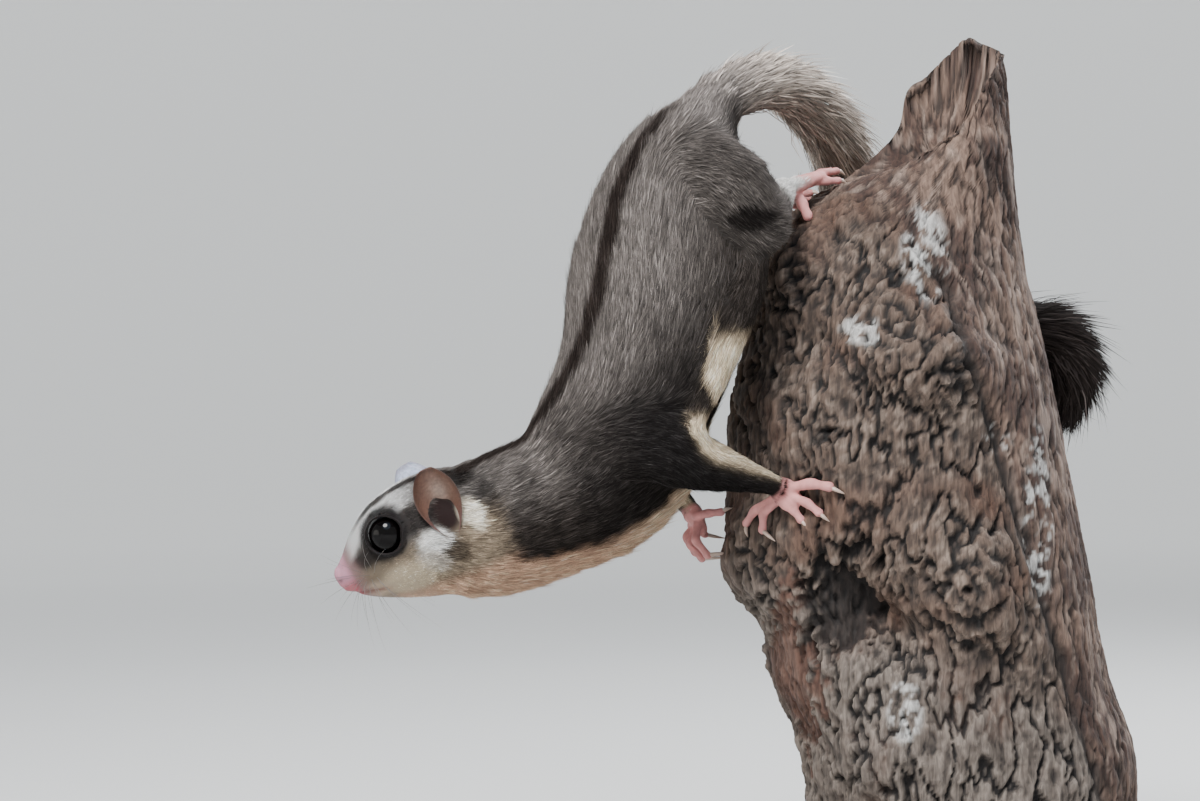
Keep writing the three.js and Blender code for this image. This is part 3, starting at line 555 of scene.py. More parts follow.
def snag_width(z):
    """Half the snag's width at heights, and the place of its middle."""
    return (SNAG_RIGHT(z) - SNAG_LEFT(z)) / 2, (SNAG_RIGHT(z) + SNAG_LEFT(z)) / 2


def snag_point(degrees, z):
    """Places on the bark at angles and heights."""
    turn = np.radians(degrees)
    half, middle = snag_width(z)
    deep = SNAG_DEPTH(z)
    rise = np.zeros_like(turn)
    for angle, height, spread, size in KNOTS:
        across = (degrees - angle + 180) % 360 - 180
        arc = np.radians(across) * (half + deep) / 2
        rise = rise + size * np.exp(-(arc**2 + (z - height) ** 2) / spread**2)
    x = middle + (half + rise) * np.cos(turn)
    y = (deep + rise) * np.sin(turn)
    return np.stack([x, y, z + np.zeros_like(x)], -1)


def bark_front(x, z):
    """The y of the bark at the front of the snag, by halving."""
    out, into = -90.0, 0.0
    half, middle = snag_width(z)
    for _ in range(24):
        y = (out + into) / 2
        degrees = math.degrees(math.atan2(y / SNAG_DEPTH(z), (x - middle) / half)) % 360
        skin = snag_point(np.array([degrees]), np.array([z]))[0]
        if math.hypot(x - middle, y) < math.hypot(skin[0] - middle, skin[1]):
            into = y
        else:
            out = y
    return out


# Paws: palm, then digits as places from the knuckle to the last joint, and the claw's tip

def on_bark(rows):
    return [(x, bark_front(x, z) - lift, z) for x, z, lift in rows]


PAWS = {
    "hand_left": {
        "back": (-0.45, -0.85, 0.2),
        "palm": [((-48.5, -37.5, 122.3), 3, 2.6), (on_bark([(-45, 120, 3.6)])[0], 4, 2.4),
                 (on_bark([(-43.5, 118, 2.8)])[0], 3.6, 1.8)],
        "digits": [
            (on_bark([(-44.5, 121, 3.4), (-38, 122.4, 2.6), (-33, 121.6, 1.6)]),
             on_bark([(-28.6, 119.6, 0.6)])[0], 1.15),
            (on_bark([(-43, 119, 3), (-38.8, 117, 2.6), (-35.6, 114.4, 1.4)]),
             on_bark([(-32.8, 112, 0.4)])[0], 1),
            (on_bark([(-44.5, 118, 3), (-42.4, 115, 2.6), (-40.4, 112.4, 1.4)]),
             on_bark([(-38.2, 110, 0.4)])[0], 1),
            (on_bark([(-46, 118, 3), (-50.3, 114, 3.2), (-50.6, 109.2, 1.6)]),
             on_bark([(-47.2, 106.2, 0.5)])[0], 1),
            (on_bark([(-47, 118.5, 3), (-52.6, 114.5, 3.4), (-55, 110.6, 2)]),
             on_bark([(-54.4, 107, 0.7)])[0], 1),
        ],
    },
    "hand_right": {
        "back": (-0.9, -0.35, 0.1),
        "palm": [((-72, -1, 116.5), 2.8, 2.5), ((-69, -3, 112.5), 4, 2.4),
                 ((-67.5, -3, 109.5), 3.4, 1.8)],
        "digits": [
            ([(-68.5, -6, 112.5), (-65, -8.5, 113.2), (-61.5, -9.5, 113.6)], (-58.2, -10, 114.8), 1),
            ([(-68, -6, 110), (-68.6, -8.5, 105.6), (-65.4, -9.5, 101.4)], (-58.8, -10, 102), 1),
            ([(-68.5, -3, 109), (-70.2, -3.5, 104.4), (-66.8, -4.5, 100.2)], (-59.6, -5, 100.4), 1),
            ([(-68.5, 0, 110), (-71, 1, 106), (-68.6, 1.5, 101.6)], (-60.5, 2, 100.6), 1),
            ([(-69, 1, 111.5), (-69.4, 5.5, 109), (-65.6, 7.5, 106.6)], (-59.4, 8, 105.4), 1),
        ],
    },
    "foot_left": {
        "back": (-0.45, -0.3, 0.85),
        "palm": [((-44, -22.5, 204.6), 3.4, 3), ((-39.5, -16, 206.4), 3.6, 2.4),
                 ((-35, -11, 208.2), 3.4, 2)],
        "digits": [
            ([(-36.5, -12.5, 207.6), (-32, -8.6, 209.9), (-28.6, -5.4, 210.6)], (-25.8, -3.4, 209.6), 1),
            ([(-36.5, -10.5, 207.6), (-33, -5.4, 210), (-30, -1.4, 210.8)], (-27.4, 1.2, 210), 1),
            ([(-37.5, -10, 207), (-35, -3.8, 208.8), (-32.4, 0.8, 209.4)], (-30.2, 3.6, 208.6), 1),
            ([(-36, -13.5, 207), (-31.6, -11.4, 207.4), (-28.4, -10, 207.6)], (-25.6, -9, 206.6), 1),
            ([(-41, -18, 204.6), (-39, -20, 200.2), (-37.6, -21.6, 197)], None, 1.2),
        ],
    },
    "foot_right": {
        "back": (-0.5, 0.35, 0.8),
        "palm": [((-52, 15.5, 204.4), 3.2, 2.8), ((-46.5, 16, 204.4), 3.4, 2.4),
                 ((-42, 16, 203.8), 3.4, 2)],
        "digits": [
            ([(-43, 14.6, 204), (-38.6, 12.4, 204.8), (-35, 10.6, 205.4)], (-32.4, 9.4, 205), 1),
            ([(-43, 16, 203.8), (-38.2, 16, 204), (-34.6, 15.6, 203.6)], (-31.8, 15.4, 202.6), 1),
            ([(-43, 17.4, 203.4), (-38.6, 19.2, 202.4), (-35.2, 20, 201)], (-32.8, 20.4, 199.6), 1),
            ([(-44, 18.4, 203), (-40.6, 22, 200.4), (-37.6, 23.6, 198)], (-35.4, 24, 196.4), 1),
            ([(-46, 13, 203), (-43.6, 8.6, 201), (-42, 5.6, 199)], None, 1.2),
        ],
    },
}
DIGIT_RADIUS = 1.35
CLAW_RADIUS = 0.65


def tube(rows, up, sides=12, steps=4):
    """A closed loft: rows of place, half-width and half-depth. Returns vertices and quad faces."""
    places = np.array([r[0] for r in rows], float)
    sizes = np.array([r[1:] for r in rows], float)
    t = np.linspace(0, len(rows) - 1, (len(rows) - 1) * steps + 1)
    line = Line.through(places, t)
    size = Line.through(sizes, t)
    forward = unit(np.gradient(line, axis=0))
    side = unit(np.cross(forward, np.broadcast_to(up, forward.shape)))
    above = np.cross(side, forward)
    ends = [0.35, 0.75, 0.94]
    rings = []
    for e in ends:
        rings.append((line[0] - forward[0] * size[0, 0] * math.sqrt(1 - e * e), size[0] * e, 0))
    rings += [(line[i], size[i], i) for i in range(len(t))]
    for e in reversed(ends):
        rings.append((line[-1] + forward[-1] * size[-1, 0] * math.sqrt(1 - e * e), size[-1] * e, -1))
    turn = np.arange(sides) / sides * 2 * math.pi
    verts = []
    for centre, (wide, deep), i in rings:
        verts.append(
            centre + np.cos(turn)[:, None] * wide * side[i] + np.sin(turn)[:, None] * deep * above[i]
        )
    verts = np.concatenate(verts)
    faces = []
    for r in range(len(rings) - 1):
        for j in range(sides):
            n = (j + 1) % sides
            faces.append((r * sides + j, (r + 1) * sides + j, (r + 1) * sides + n, r * sides + n))
    for ring, flip in ((0, 1), (len(rings) - 1, -1)):
        loop = [ring * sides + j for j in range(sides)][::flip]
        for j in range(1, sides - 2, 2):
            faces.append((loop[0], loop[j], loop[j + 1], loop[j + 2]))
    return verts, np.array(faces)


def joined(parts):
    """Meshes as one list of vertices and one of faces."""
    verts, faces, count = [], [], 0
    for v, f in parts:
        verts.append(v)
        faces.append(f + count)
        count += len(v)
    return np.concatenate(verts), np.concatenate(faces)


def paw_parts(paw):
    """The palm and digits of a paw, with fuller joints and tips."""
    parts = [tube(paw["palm"], paw["back"], sides=14)]
    for points, _, girth in paw["digits"]:
        a, b, c = [np.array(p) for p in points]
        r = DIGIT_RADIUS * girth
        rows = [
            (a, r * 1.05, r * 1.0), (a * 0.5 + b * 0.5, r * 0.92, r * 0.88), (b, r * 1.12, r * 1.05),
            (b * 0.5 + c * 0.5, r * 0.84, r * 0.8), (c, r * 1.0, r * 0.9),
        ]
        parts.append(tube(rows, paw["back"], sides=10, steps=3))
    return parts


# Skin

FLESH = [
    "head", "neck", "torso", "upper_arm_left", "forearm_left", "upper_arm_right", "forearm_right",
    "thigh_left", "shin_left", "thigh_right", "shin_right", "patagium_left", "patagium_right",
]
PAW_NODES = ["hand_left", "hand_right", "foot_left", "foot_right"]
TAIL_NODES = ["tail_root", "tail_arch", "tail_middle", "tail_tip"]


def node_mesh(name, grow):
    """A node's triangles in millimetres, grown along its normals."""
    bm = bmesh.new()
    bm.from_mesh(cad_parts[name].data)
    bmesh.ops.remove_doubles(bm, verts=bm.verts, dist=2e-6)
    bm.normal_update()
    for v in bm.verts:
        v.co += v.normal * grow * MM
    bmesh.ops.triangulate(bm, faces=bm.faces)
    verts = np.array([v.co for v in bm.verts]) / MM
    faces = np.array([[v.index for v in f.verts] for f in bm.faces])
    bm.free()
    return verts, faces


def as_triangles(verts, quads):
    """The same mesh with each quad cut in two."""
    return verts, np.concatenate([quads[:, [0, 1, 2]], quads[:, [0, 2, 3]]])


def evaluated(obj):
    """The object's vertices in millimetres and its triangles, after its modifiers."""
    graph = bpy.context.evaluated_depsgraph_get()
    mesh = bpy.data.meshes.new_from_object(obj.evaluated_get(graph))
    mesh.calc_loop_triangles()
    co = np.zeros(len(mesh.vertices) * 3, np.float32)
    mesh.vertices.foreach_get("co", co)
    tris = np.zeros(len(mesh.loop_triangles) * 3, np.int32)
    mesh.loop_triangles.foreach_get("vertices", tris)
    return co.reshape(-1, 3).astype(float) / MM, tris.reshape(-1, 3)


def normals_of(verts, tris):
    """A normal at each vertex, from the triangles round it by area."""
    a, b, c = verts[tris[:, 0]], verts[tris[:, 1]], verts[tris[:, 2]]
    flat = np.cross(b - a, c - a)
    total = np.zeros_like(verts)
    for k in range(3):
        np.add.at(total, tris[:, k], flat)
    return unit(total)


def soften(verts, tris, weight, rounds):
    """Moves each vertex towards its neighbours' middle, by a weight of its own."""
    edges = np.concatenate([tris[:, [0, 1]], tris[:, [1, 2]], tris[:, [2, 0]]])
    count = np.bincount(edges[:, 0], minlength=len(verts))[:, None]
    for _ in range(rounds):
        total = np.stack([
            np.bincount(edges[:, 0], verts[edges[:, 1], k], len(verts)) for k in range(3)
        ], 1)
        verts = verts + weight[:, None] * (total / np.maximum(count, 1) - verts)
    return verts


def tail_core():
    """The tail's own flesh, under its coat."""
    line = LINES["tail"]
    far = np.linspace(-4, line.length - 6, 40)
    place, radius, *_ = line.at(np.maximum(far, 0))
    girth = np.interp(far, [0, 12, 34], [7.4, 6.6, TAIL_CORE]) * np.minimum(1, radius / 8.4)
    rows = [(p, g, g) for p, g in zip(place, girth)]
    return tube(rows[1:], TAIL_SIDE, sides=14, steps=1)


def raw_skin():
    """The flesh joined into one closed surface."""
    parts = [node_mesh(name, SKIN_GROWTH) for name in FLESH]
    parts.append(as_triangles(*tail_core()))
    for paw in PAWS.values():
        parts += [as_triangles(*p) for p in paw_parts(paw)]
    verts, faces = joined(parts)
    raw = new_mesh("raw", verts, faces)
    remesh = raw.modifiers.new("remesh", "REMESH")
    remesh.mode = "VOXEL"
    remesh.voxel_size = VOXEL * MM
    shrink = raw.modifiers.new("decimate", "DECIMATE")
    shrink.ratio = SKIN_SHARE
    verts, tris = evaluated(raw)
    bpy.data.objects.remove(raw)
    return verts, tris


def paw_share(points):
    """1 on the paws, 0 away from them."""
    share = np.zeros(len(points))
    for paw in PAWS.values():
        places = [p for p, *_ in paw["palm"][1:]]
        for digit, _, _ in paw["digits"]:
            places += digit[:]
            places.append((np.array(digit[0]) + digit[1]) / 2)
            places.append((np.array(digit[1]) + digit[2]) / 2)
        for place in places:
            d = np.linalg.norm(points - np.array(place), axis=1)
            share = np.maximum(share, 1 - smooth(d, 2.8, 4.6))
    return share


def sculpt(verts, tris):
    """Softens the joints, sinks the skin under its coat, and cuts the finer forms of the face."""
    found = survey(verts)
    paw = paw_share(verts)
    detail = np.maximum(paw, 1 - smooth(found["far"][0], 12, 26))
    gap = eye_gap(verts)
    detail = np.maximum(detail, 1 - smooth(gap, 7, 10))
    verts = soften(verts, tris, 0.5 * (1 - 0.93 * detail), 26)
    normal = normals_of(verts, tris)
    length, lift = coat_length(verts, found)
    depth = SKIN_SINK * length * np.sin(lift)
    depth *= (1 - paw) * (1 - found["share"][1]) * smooth(found["far"][0], 0, 3.5)
    depth = np.where(gap < 7.5, depth * smooth(gap, 5, 7.5), depth)
    nearest = found["off"][found["part"], np.arange(len(verts))]
    verts = verts - normal * np.minimum(depth, 0.45 * nearest)[:, None]
    verts = soften(verts, tris, 0.4 * (1 - detail), 6)
    return carve_face(verts, tris), paw


def carve_face(verts, tris):
    """Nostrils, the groove below the nose, the line of the mouth and the fold of the lip."""
    normal = normals_of(verts, tris)
    head = mirrored(verts)
    back, left, up = head.T
    move = np.zeros(len(verts))
    move -= bell(reach(head, NOSTRIL, (1.2, 0.8, 0.75)))
    wing = bell(reach(head, (1.9, 2.5, 0.6), (1.3, 1.1, 0.9)))
    move += 0.35 * wing
    groove = bell(left, 0.28) * (back < 3.2) * (up < 0.8)
    move -= 0.35 * groove
    line = mouth_line(back)
    mouth = bell(up - line, 0.42) * (1 - smooth(back, 12, 15)) * smooth(left, 0.3, 1)
    move -= 0.55 * mouth
    lip = bell(up - line - 1.1, 0.7) * (1 - smooth(back, 10, 14))
    move += 0.25 * lip
    pad = bell(reach(head, (6.5, 5.0, -2.6), (3.6, 2.6, 2.6)))
    move += 0.5 * pad
    verts = verts + normal * move[:, None]
    return open_lids(verts)


def open_lids(verts):
    """Draws the lids back from each eye and raises a fold round them."""
    for side, centre in ((1, EYES["left"]), (-1, EYES["right"])):
        axis = unit(HEAD_LEFT * side - 0.12 * HEAD_BACK + 0.1 * HEAD_UP)
        rel = verts - centre
        out = rel @ axis
        away = rel - out[:, None] * axis
        gone = np.linalg.norm(away, axis=1)
        near = smooth(out, 0.5, 2.0) * (gone < 9)
        spread = near * 0.85 * bell(gone - 3.9, 1.3)
        fold = near * (0.3 * bell(gone - 5.5, 0.5) - 0.25 * bell(gone - 6.5, 0.5))
        verts = verts + unit(away) * spread[:, None] + axis * fold[:, None]
    return verts


def skin_colours(verts, found, paw):
    """The skin's colour: the coat's markings, bare pink on paws and nose, red in the mouth, and painted
    shade in the nostrils and along the line of the mouth.
    """
    colour = coat_colours(verts, found) * 0.72
    head = mirrored(verts)
    back, left, up = head.T
    rosy = 1 + 0.2 * noise_at(verts, 2.2, 5)[:, None]
    pink = mix(NOSE_PINK, MOUTH_RED, 0.8 * smooth(-up, 0.5, 4)) * rosy
    colour = mix(colour, pink, 1 - smooth(back, 3.0, 5.4))
    # Painted shade: the line of the mouth is painted darker.
    mouth = bell(up - mouth_line(back), 0.55) * (1 - smooth(back, 10, 14)) * smooth(left, 0.2, 0.8)
    colour = mix(colour, (0.11, 0.03, 0.03), 0.6 * mouth)
    # Painted shade: the nostrils are painted near-black.
    colour = mix(colour, (0.05, 0.012, 0.014), bell(reach(head, NOSTRIL, (1.0, 0.7, 0.6))))
    colour = mix(colour, (0.010, 0.008, 0.008), 1 - smooth(eye_gap(verts), 6.0, 7.2))
    return mix(colour, np.array(PINK) * rosy, paw)


# Tufts

def scatter(verts, tris, weight, count):
    """Places spread over the triangles by area times weight, with their normals."""
    a, b, c = verts[tris[:, 0]], verts[tris[:, 1]], verts[tris[:, 2]]
    area = np.linalg.norm(np.cross(b - a, c - a), axis=1) / 2
    share = area * weight[tris].mean(1)
    pick = np.sort(rng.choice(len(tris), count, p=share / share.sum()))
    u, v = rng.random((2, count))
    flip = u + v > 1
    u[flip], v[flip] = 1 - u[flip], 1 - v[flip]
    w = 1 - u - v
    normal = normals_of(verts, tris)
    blend = lambda x: (
        x[tris[pick, 0]] * w[:, None] + x[tris[pick, 1]] * u[:, None]
        + x[tris[pick, 2]] * v[:, None]
    )
    return blend(verts), unit(blend(normal))


UNWRAP = {
    "body": (0.01, 0.01, 0.60, 0.98), "tail": (0.62, 0.01, 0.14, 0.98),
    "arm_left": (0.78, 0.01, 0.10, 0.30), "arm_right": (0.89, 0.01, 0.10, 0.30),
    "leg_left": (0.78, 0.33, 0.10, 0.30), "leg_right": (0.89, 0.33, 0.10, 0.30),
    "membrane_left": (0.78, 0.66, 0.10, 0.33), "membrane_right": (0.89, 0.66, 0.10, 0.33),
}


def unwrap(found):
    """Each point's place on the unwrapped skin: round its part across, and along it up."""
    part, take = found["part"], np.arange(len(found["part"]))
    turn, far = found["turn"][part, take], found["far"][part, take]
    uv = np.zeros((len(part), 2))
    for k, name in enumerate(NAMES):
        own = part == k
        x, y, wide, high = UNWRAP[name]
        uv[own, 0] = x + wide * (0.02 + 0.96 * (turn[own] / (2 * math.pi) + 0.5))
        uv[own, 1] = y + high * (0.02 + 0.96 * far[own] / LINES[name].length)
    return uv


# Corners of a straight and of a bent tuft: share of half its width, of its thickness, of its
# length, and how light it is, then its faces
STRAIGHT = (
    [(-1, 0, 0, 0.62), (1, 0, 0, 0.62), (0, 1, 0, 0.66), (0, 0, 1, 1.30)],
    [(0, 1, 2), (0, 3, 1), (1, 3, 2), (2, 3, 0)],
)
BENT = (
    [(-1, 0, 0, 0.55), (1, 0, 0, 0.55), (0, 1, 0, 0.6), (-0.85, 0, 0.52, 0.95),
     (0.85, 0, 0.52, 0.95), (0, 0.9, 0.52, 1.0), (0, 0, 1, 1.3)],
    [(0, 1, 2), (0, 3, 4), (0, 4, 1), (1, 4, 5), (1, 5, 2), (2, 5, 3), (2, 3, 0), (3, 6, 4),
     (4, 6, 5), (5, 6, 3)],
)


def build_tufts(form, roots, normal, found, length, lift, width, colour):
    """Closed three-sided tufts laid along the coat. Returns places, faces, colours and normals."""
    count = len(roots)
    clump = np.stack([noise_at(roots, 5.0, 21 + k, 2) for k in range(3)], 1)
    flow = found["flow"] + 0.10 * rng.normal(size=(count, 3)) + 0.22 * clump
    flow = unit(flow - normal * (flow * normal).sum(1)[:, None])
    side = np.cross(flow, normal)
    lift = lift * rng.uniform(0.7, 1.3, count)
    length = length * rng.uniform(0.75, 1.2, count)
    half = width * rng.uniform(0.35, 0.65, count)
    base = roots - normal * 0.2
    guard = rng.random(count) < GUARD_SHARE
    length = np.where(guard, 1.45 * length, length)
    lift = np.where(guard, 1.25 * lift, lift)
    half = np.where(guard, 0.8 * half, half)
    mottle = 0.34 * noise_at(roots, 2.6, 31, 2) + 0.26 * noise_at(roots, 0.9, 32, 2)
    shade = np.exp(rng.normal(0, 0.34, count)) * (1 + mottle)
    pale = (rng.random(count) < PALE_SHARE)[:, None]
    colour = np.where(pale, colour * 1.6 + 0.005, colour * 0.9) * shade[:, None]
    jitter = 0.22 * rng.normal(size=(count, 3))
    places, tints, facing = [], [], []
    for across, over, along, light in form[0]:
        lean = lift * (1 - 0.45 * along)
        reach = flow * np.cos(lean)[:, None] + normal * np.sin(lean)[:, None]
        places.append(
            base + reach * (along * length)[:, None] + side * (across * half)[:, None]
            + normal * (over * 0.7 * half)[:, None]
        )
        tints.append(colour * light)
        facing.append(unit(normal + jitter + side * (0.55 * across) + flow * (0.35 * along)))
    corners = len(form[0])
    faces = (np.arange(count) * corners)[:, None, None] + np.array(form[1])[None]
    stack = lambda rows: np.stack(rows, 1)
    return stack(places), faces, stack(tints), stack(facing)


def tuft_pieces(name, form, tufts, found, mat, slot_name):
    """The tufts as pieces of limited size, each with its colours and its unwrap."""
    places, faces, tints, facing = tufts
    uv = unwrap(found)
    corners = len(form[0])
    spread = TUFT_PATCH * np.array([(0.4 * across, along - 0.5) for across, _, along, _ in form[0]])
    size = PIECE_TRIANGLES // len(form[1])
    made = []
    for k, start in enumerate(range(0, len(places), size)):
        part = slice(start, start + size)
        obj = new_mesh(
            f"{name}_{k + 1}", places[part].reshape(-1, 3),
            (faces[part] - start * corners).reshape(-1, 3),
        )
        paint(obj, tints[part].reshape(-1, 3))
        each = (uv[part][:, None, :] + spread[None]).reshape(-1, 2)
        layer = obj.data.uv_layers.new(name="OFBake")
        loops = np.zeros(len(obj.data.loops), np.int32)
        obj.data.loops.foreach_get("vertex_index", loops)
        layer.data.foreach_set("uv", each[loops].astype(np.float32).ravel())
        smooth_shade(obj)
        obj.data.normals_split_custom_set_from_vertices(facing[part].reshape(-1, 3))
        made.append(finished(obj, mat, slot_name))
    return made


# Materials

def material(name, roughness, colour=None):
    mat = bpy.data.materials.new(name)
    mat.use_nodes = True
    shader = mat.node_tree.nodes["Principled BSDF"]
    shader.inputs["Roughness"].default_value = roughness
    if colour is not None:
        shader.inputs["Base Color"].default_value = (*colour, 1)
    return mat, mat.node_tree, shader


def add_node(tree, kind, **values):
    made = tree.nodes.new(kind)
    for key, value in values.items():
        if key in made.inputs:
            made.inputs[key].default_value = value
        else:
            setattr(made, key, value)
    return made


def from_coat(tree, socket):
    """Feeds the painted colour into a socket."""
    colour = add_node(tree, "ShaderNodeAttribute", attribute_name="Coat")
    tree.links.new(colour.outputs["Color"], socket)


def ramp_from(tree, height, low, high, socket):
    """Feeds a ramp between two colours, driven by a texture, into a socket."""
    ramp = add_node(tree, "ShaderNodeValToRGB")
    for element, colour in zip(ramp.color_ramp.elements, (low, high)):
        element.color = (*colour, 1)
    tree.links.new(height, ramp.inputs["Fac"])
    tree.links.new(ramp.outputs["Color"], socket)
    return ramp


def stretched_grain(tree, scale, **values):
    """Noise in the object's own space, stretched along its axes."""
    place = add_node(tree, "ShaderNodeTexCoord")
    stretch = add_node(tree, "ShaderNodeMapping", Scale=scale)
    grain = add_node(tree, "ShaderNodeTexNoise", **values)
    tree.links.new(place.outputs["Object"], stretch.inputs["Vector"])
    tree.links.new(stretch.outputs["Vector"], grain.inputs["Vector"])
    return grain.outputs["Fac"]


def coat_material():
    mat, tree, shader = material("coat", 0.75)
    from_coat(tree, shader.inputs["Base Color"])
    shader.inputs["Specular IOR Level"].default_value = 0.03
    return mat


def bump_from(tree, shader, height, strength, distance):
    bump = add_node(tree, "ShaderNodeBump", Strength=strength, Distance=distance)
    tree.links.new(height, bump.inputs["Height"])
    tree.links.new(bump.outputs["Normal"], shader.inputs["Normal"])


def skin_material():
    mat, tree, shader = material("skin", 0.5)
    from_coat(tree, shader.inputs["Base Color"])
    grain = add_node(tree, "ShaderNodeTexNoise", Scale=1400.0, Detail=4.0)
    bump_from(tree, shader, grain.outputs["Fac"], 0.35, 0.0004)
    shader.inputs["Subsurface Weight"].default_value = 0.12
    shader.inputs["Subsurface Radius"].default_value = (0.002, 0.0007, 0.0005)
    shader.inputs["Specular IOR Level"].default_value = 0.1
    return mat


# The parts of the picture

def make_animal():
    verts, tris = raw_skin()
    verts, paw = sculpt(verts, tris)
    found = survey(verts)
    skin = new_mesh("skin", verts, tris)
    smooth_shade(skin)
    paint(skin, skin_colours(verts, found, paw))
    finished(skin, skin_material(), "back_fur", *FLESH, *PAW_NODES)

    length, _ = coat_length(verts, found)
    tail = found["share"][1]
    bald = (1 - smooth(bare(verts), 0.3, 0.7)) * (1 - smooth(paw, 0.25, 0.6))
    bald *= smooth(eye_gap(verts), 5.8, 6.6)
    density = np.clip(5.0 / length, 0.9, 3.6)
    coat = coat_material()
    for name, form, own, count, slot_name in (
        ("coat", STRAIGHT, density * bald * (1 - smooth(tail, 0.5, 0.9)), SHORT_TUFTS, "back_fur"),
        ("tail_coat", BENT, bald * smooth(tail, 0.15, 0.5), TAIL_TUFTS, "tail_fur"),
    ):
        roots, normal = scatter(verts, tris, own, count)
        where = survey(roots)
        length, lift = coat_length(roots, where)
        width = np.clip(0.05 * length + 0.12, 0.15, 0.62)
        colour = coat_colours(roots, where)
        tufts = build_tufts(form, roots, normal, where, length, lift, width, colour)
        pieces = tuft_pieces(name, form, tufts, where, coat, slot_name)
    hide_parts(*TAIL_NODES)


def make_eyes():
    mat, tree, shader = material("eye", 0.03, (0.004, 0.0035, 0.004))
    shader.inputs["Specular IOR Level"].default_value = 0.15
    clouds = add_node(tree, "ShaderNodeTexNoise", Scale=300.0)
    ramp_from(tree, clouds.outputs["Fac"], (0.0006, 0.0005, 0.0007), (0.0020, 0.0012, 0.0010),
              shader.inputs["Base Color"])
    for name, centre in EYES.items():
        bm = bmesh.new()
        bmesh.ops.create_uvsphere(bm, u_segments=48, v_segments=32, radius=EYE_RADIUS * MM)
        bmesh.ops.translate(bm, vec=Vector(centre * MM), verts=bm.verts)
        mesh = bpy.data.meshes.new(f"eyeball_{name}")
        bm.to_mesh(mesh)
        bm.free()
        obj = placed(f"eyeball_{name}", mesh)
        smooth_shade(obj)
        finished(obj, mat, "eye_gloss", f"eye_{name}")


EARS = {
    "ear_left": (head_point(36, 13.6, -3.5), head_point(38.6, 17.5, 16.2), HEAD_LEFT),
    "ear_right": (head_point(30.5, -13.6, -2), head_point(29, -18, 17), -HEAD_LEFT),
}
EAR_WIDTH = 12.5
EAR_CUP = 3.6
EAR_THICKNESS = 0.7


def ear_sheet(root, tip, out, down=60, over=40):
    """A cupped leaf of skin with a rolled rim, as front and back sheets joined at the edge."""
    length = tip - root
    along = unit(length)
    facing = unit(out - along * (out @ along))
    across = np.cross(along, facing)
    u = np.linspace(0, 1, down + 1)[:, None]
    v = np.linspace(-1, 1, over + 1)[None, :]
    width = EAR_WIDTH / 2 * np.sin(math.pi * (0.06 + 0.88 * u) ** 1.25) ** 0.62
    cup = EAR_CUP * (1 - v * v) * np.sin(math.pi * np.minimum(0.95, 0.12 + 0.8 * u))
    curl = 1.6 * v**4
    fold = 0.35 * np.sin(v * 9 + 2 * u) * bell(u - 0.3, 0.22) * (1 - v * v)
    rim = 0.5 + 0.5 * np.sqrt(np.maximum(0, 1 - v**8))
    sheets = []
    for face in (1, -1):
        rise = curl - cup + fold + face * EAR_THICKNESS / 2 * rim
        sheets.append(
            root + length * u[..., None] + across * (v * width)[..., None] + facing * rise[..., None]
        )
    n = (down + 1) * (over + 1)
    at = lambda s, i, j: s * n + i * (over + 1) + j
    faces = []
    for i in range(down):
        for j in range(over):
            faces.append((at(0, i, j), at(0, i, j + 1), at(0, i + 1, j + 1), at(0, i + 1, j)))
            faces.append((at(1, i, j), at(1, i + 1, j), at(1, i + 1, j + 1), at(1, i, j + 1)))
    for i in range(down):
        faces.append((at(0, i, 0), at(0, i + 1, 0), at(1, i + 1, 0), at(1, i, 0)))
        faces.append((at(1, i, over), at(1, i + 1, over), at(0, i + 1, over), at(0, i, over)))
    for j in range(over):
        faces.append((at(1, 0, j), at(1, 0, j + 1), at(0, 0, j + 1), at(0, 0, j)))
        faces.append((at(0, down, j), at(0, down, j + 1), at(1, down, j + 1), at(1, down, j)))
    verts = np.concatenate([s.reshape(-1, 3) for s in sheets])
    uu, vv = np.broadcast_arrays(u, v)
    return verts, np.array(faces), np.tile(uu.ravel(), 2), np.tile(vv.ravel(), 2)


def make_ears():
    mat, tree, shader = material("ear", 0.5)
    from_coat(tree, shader.inputs["Base Color"])
    veins = add_node(tree, "ShaderNodeTexNoise", Scale=900.0, Detail=5.0)
    bump_from(tree, shader, veins.outputs["Fac"], 0.3, 0.0003)
    shader.inputs["Subsurface Weight"].default_value = 0.15
    shader.inputs["Subsurface Radius"].default_value = (0.003, 0.0009, 0.0005)
    for name, (root, tip, out) in EARS.items():
        verts, faces, u, v = ear_sheet(root, tip, out)
        obj = new_mesh(f"{name}_skin", verts, faces)
        smooth_shade(obj)
        rim = smooth(np.maximum(np.abs(v) ** 1.5, smooth(u, 0.8, 1)), 0.5, 1)
        centre = np.exp(-(((u - 0.62) / 0.2) ** 2) - ((v - 0.15) / 0.45) ** 2)
        if name == "ear_left":
            colour = mix((0.135, 0.066, 0.045), (0.085, 0.040, 0.028), rim)
            colour = mix(colour, (0.34, 0.25, 0.20), 0.7 * centre)
            colour = mix(colour, (0.10, 0.045, 0.038), 1 - smooth(u, 0.22, 0.42))
        else:
            # Painted light: the right ear is painted pale blue-grey where the left ear is brown,
            # standing in for light shining through the thin ear; both ears are really the same colour.
            colour = mix((0.34, 0.37, 0.48), (0.22, 0.22, 0.28), rim)
        speckle = noise_at(verts, 0.7, 8)
        paint(obj, colour * (1 + 0.35 * speckle[:, None]))
        finished(obj, mat, "ear_skin", name)


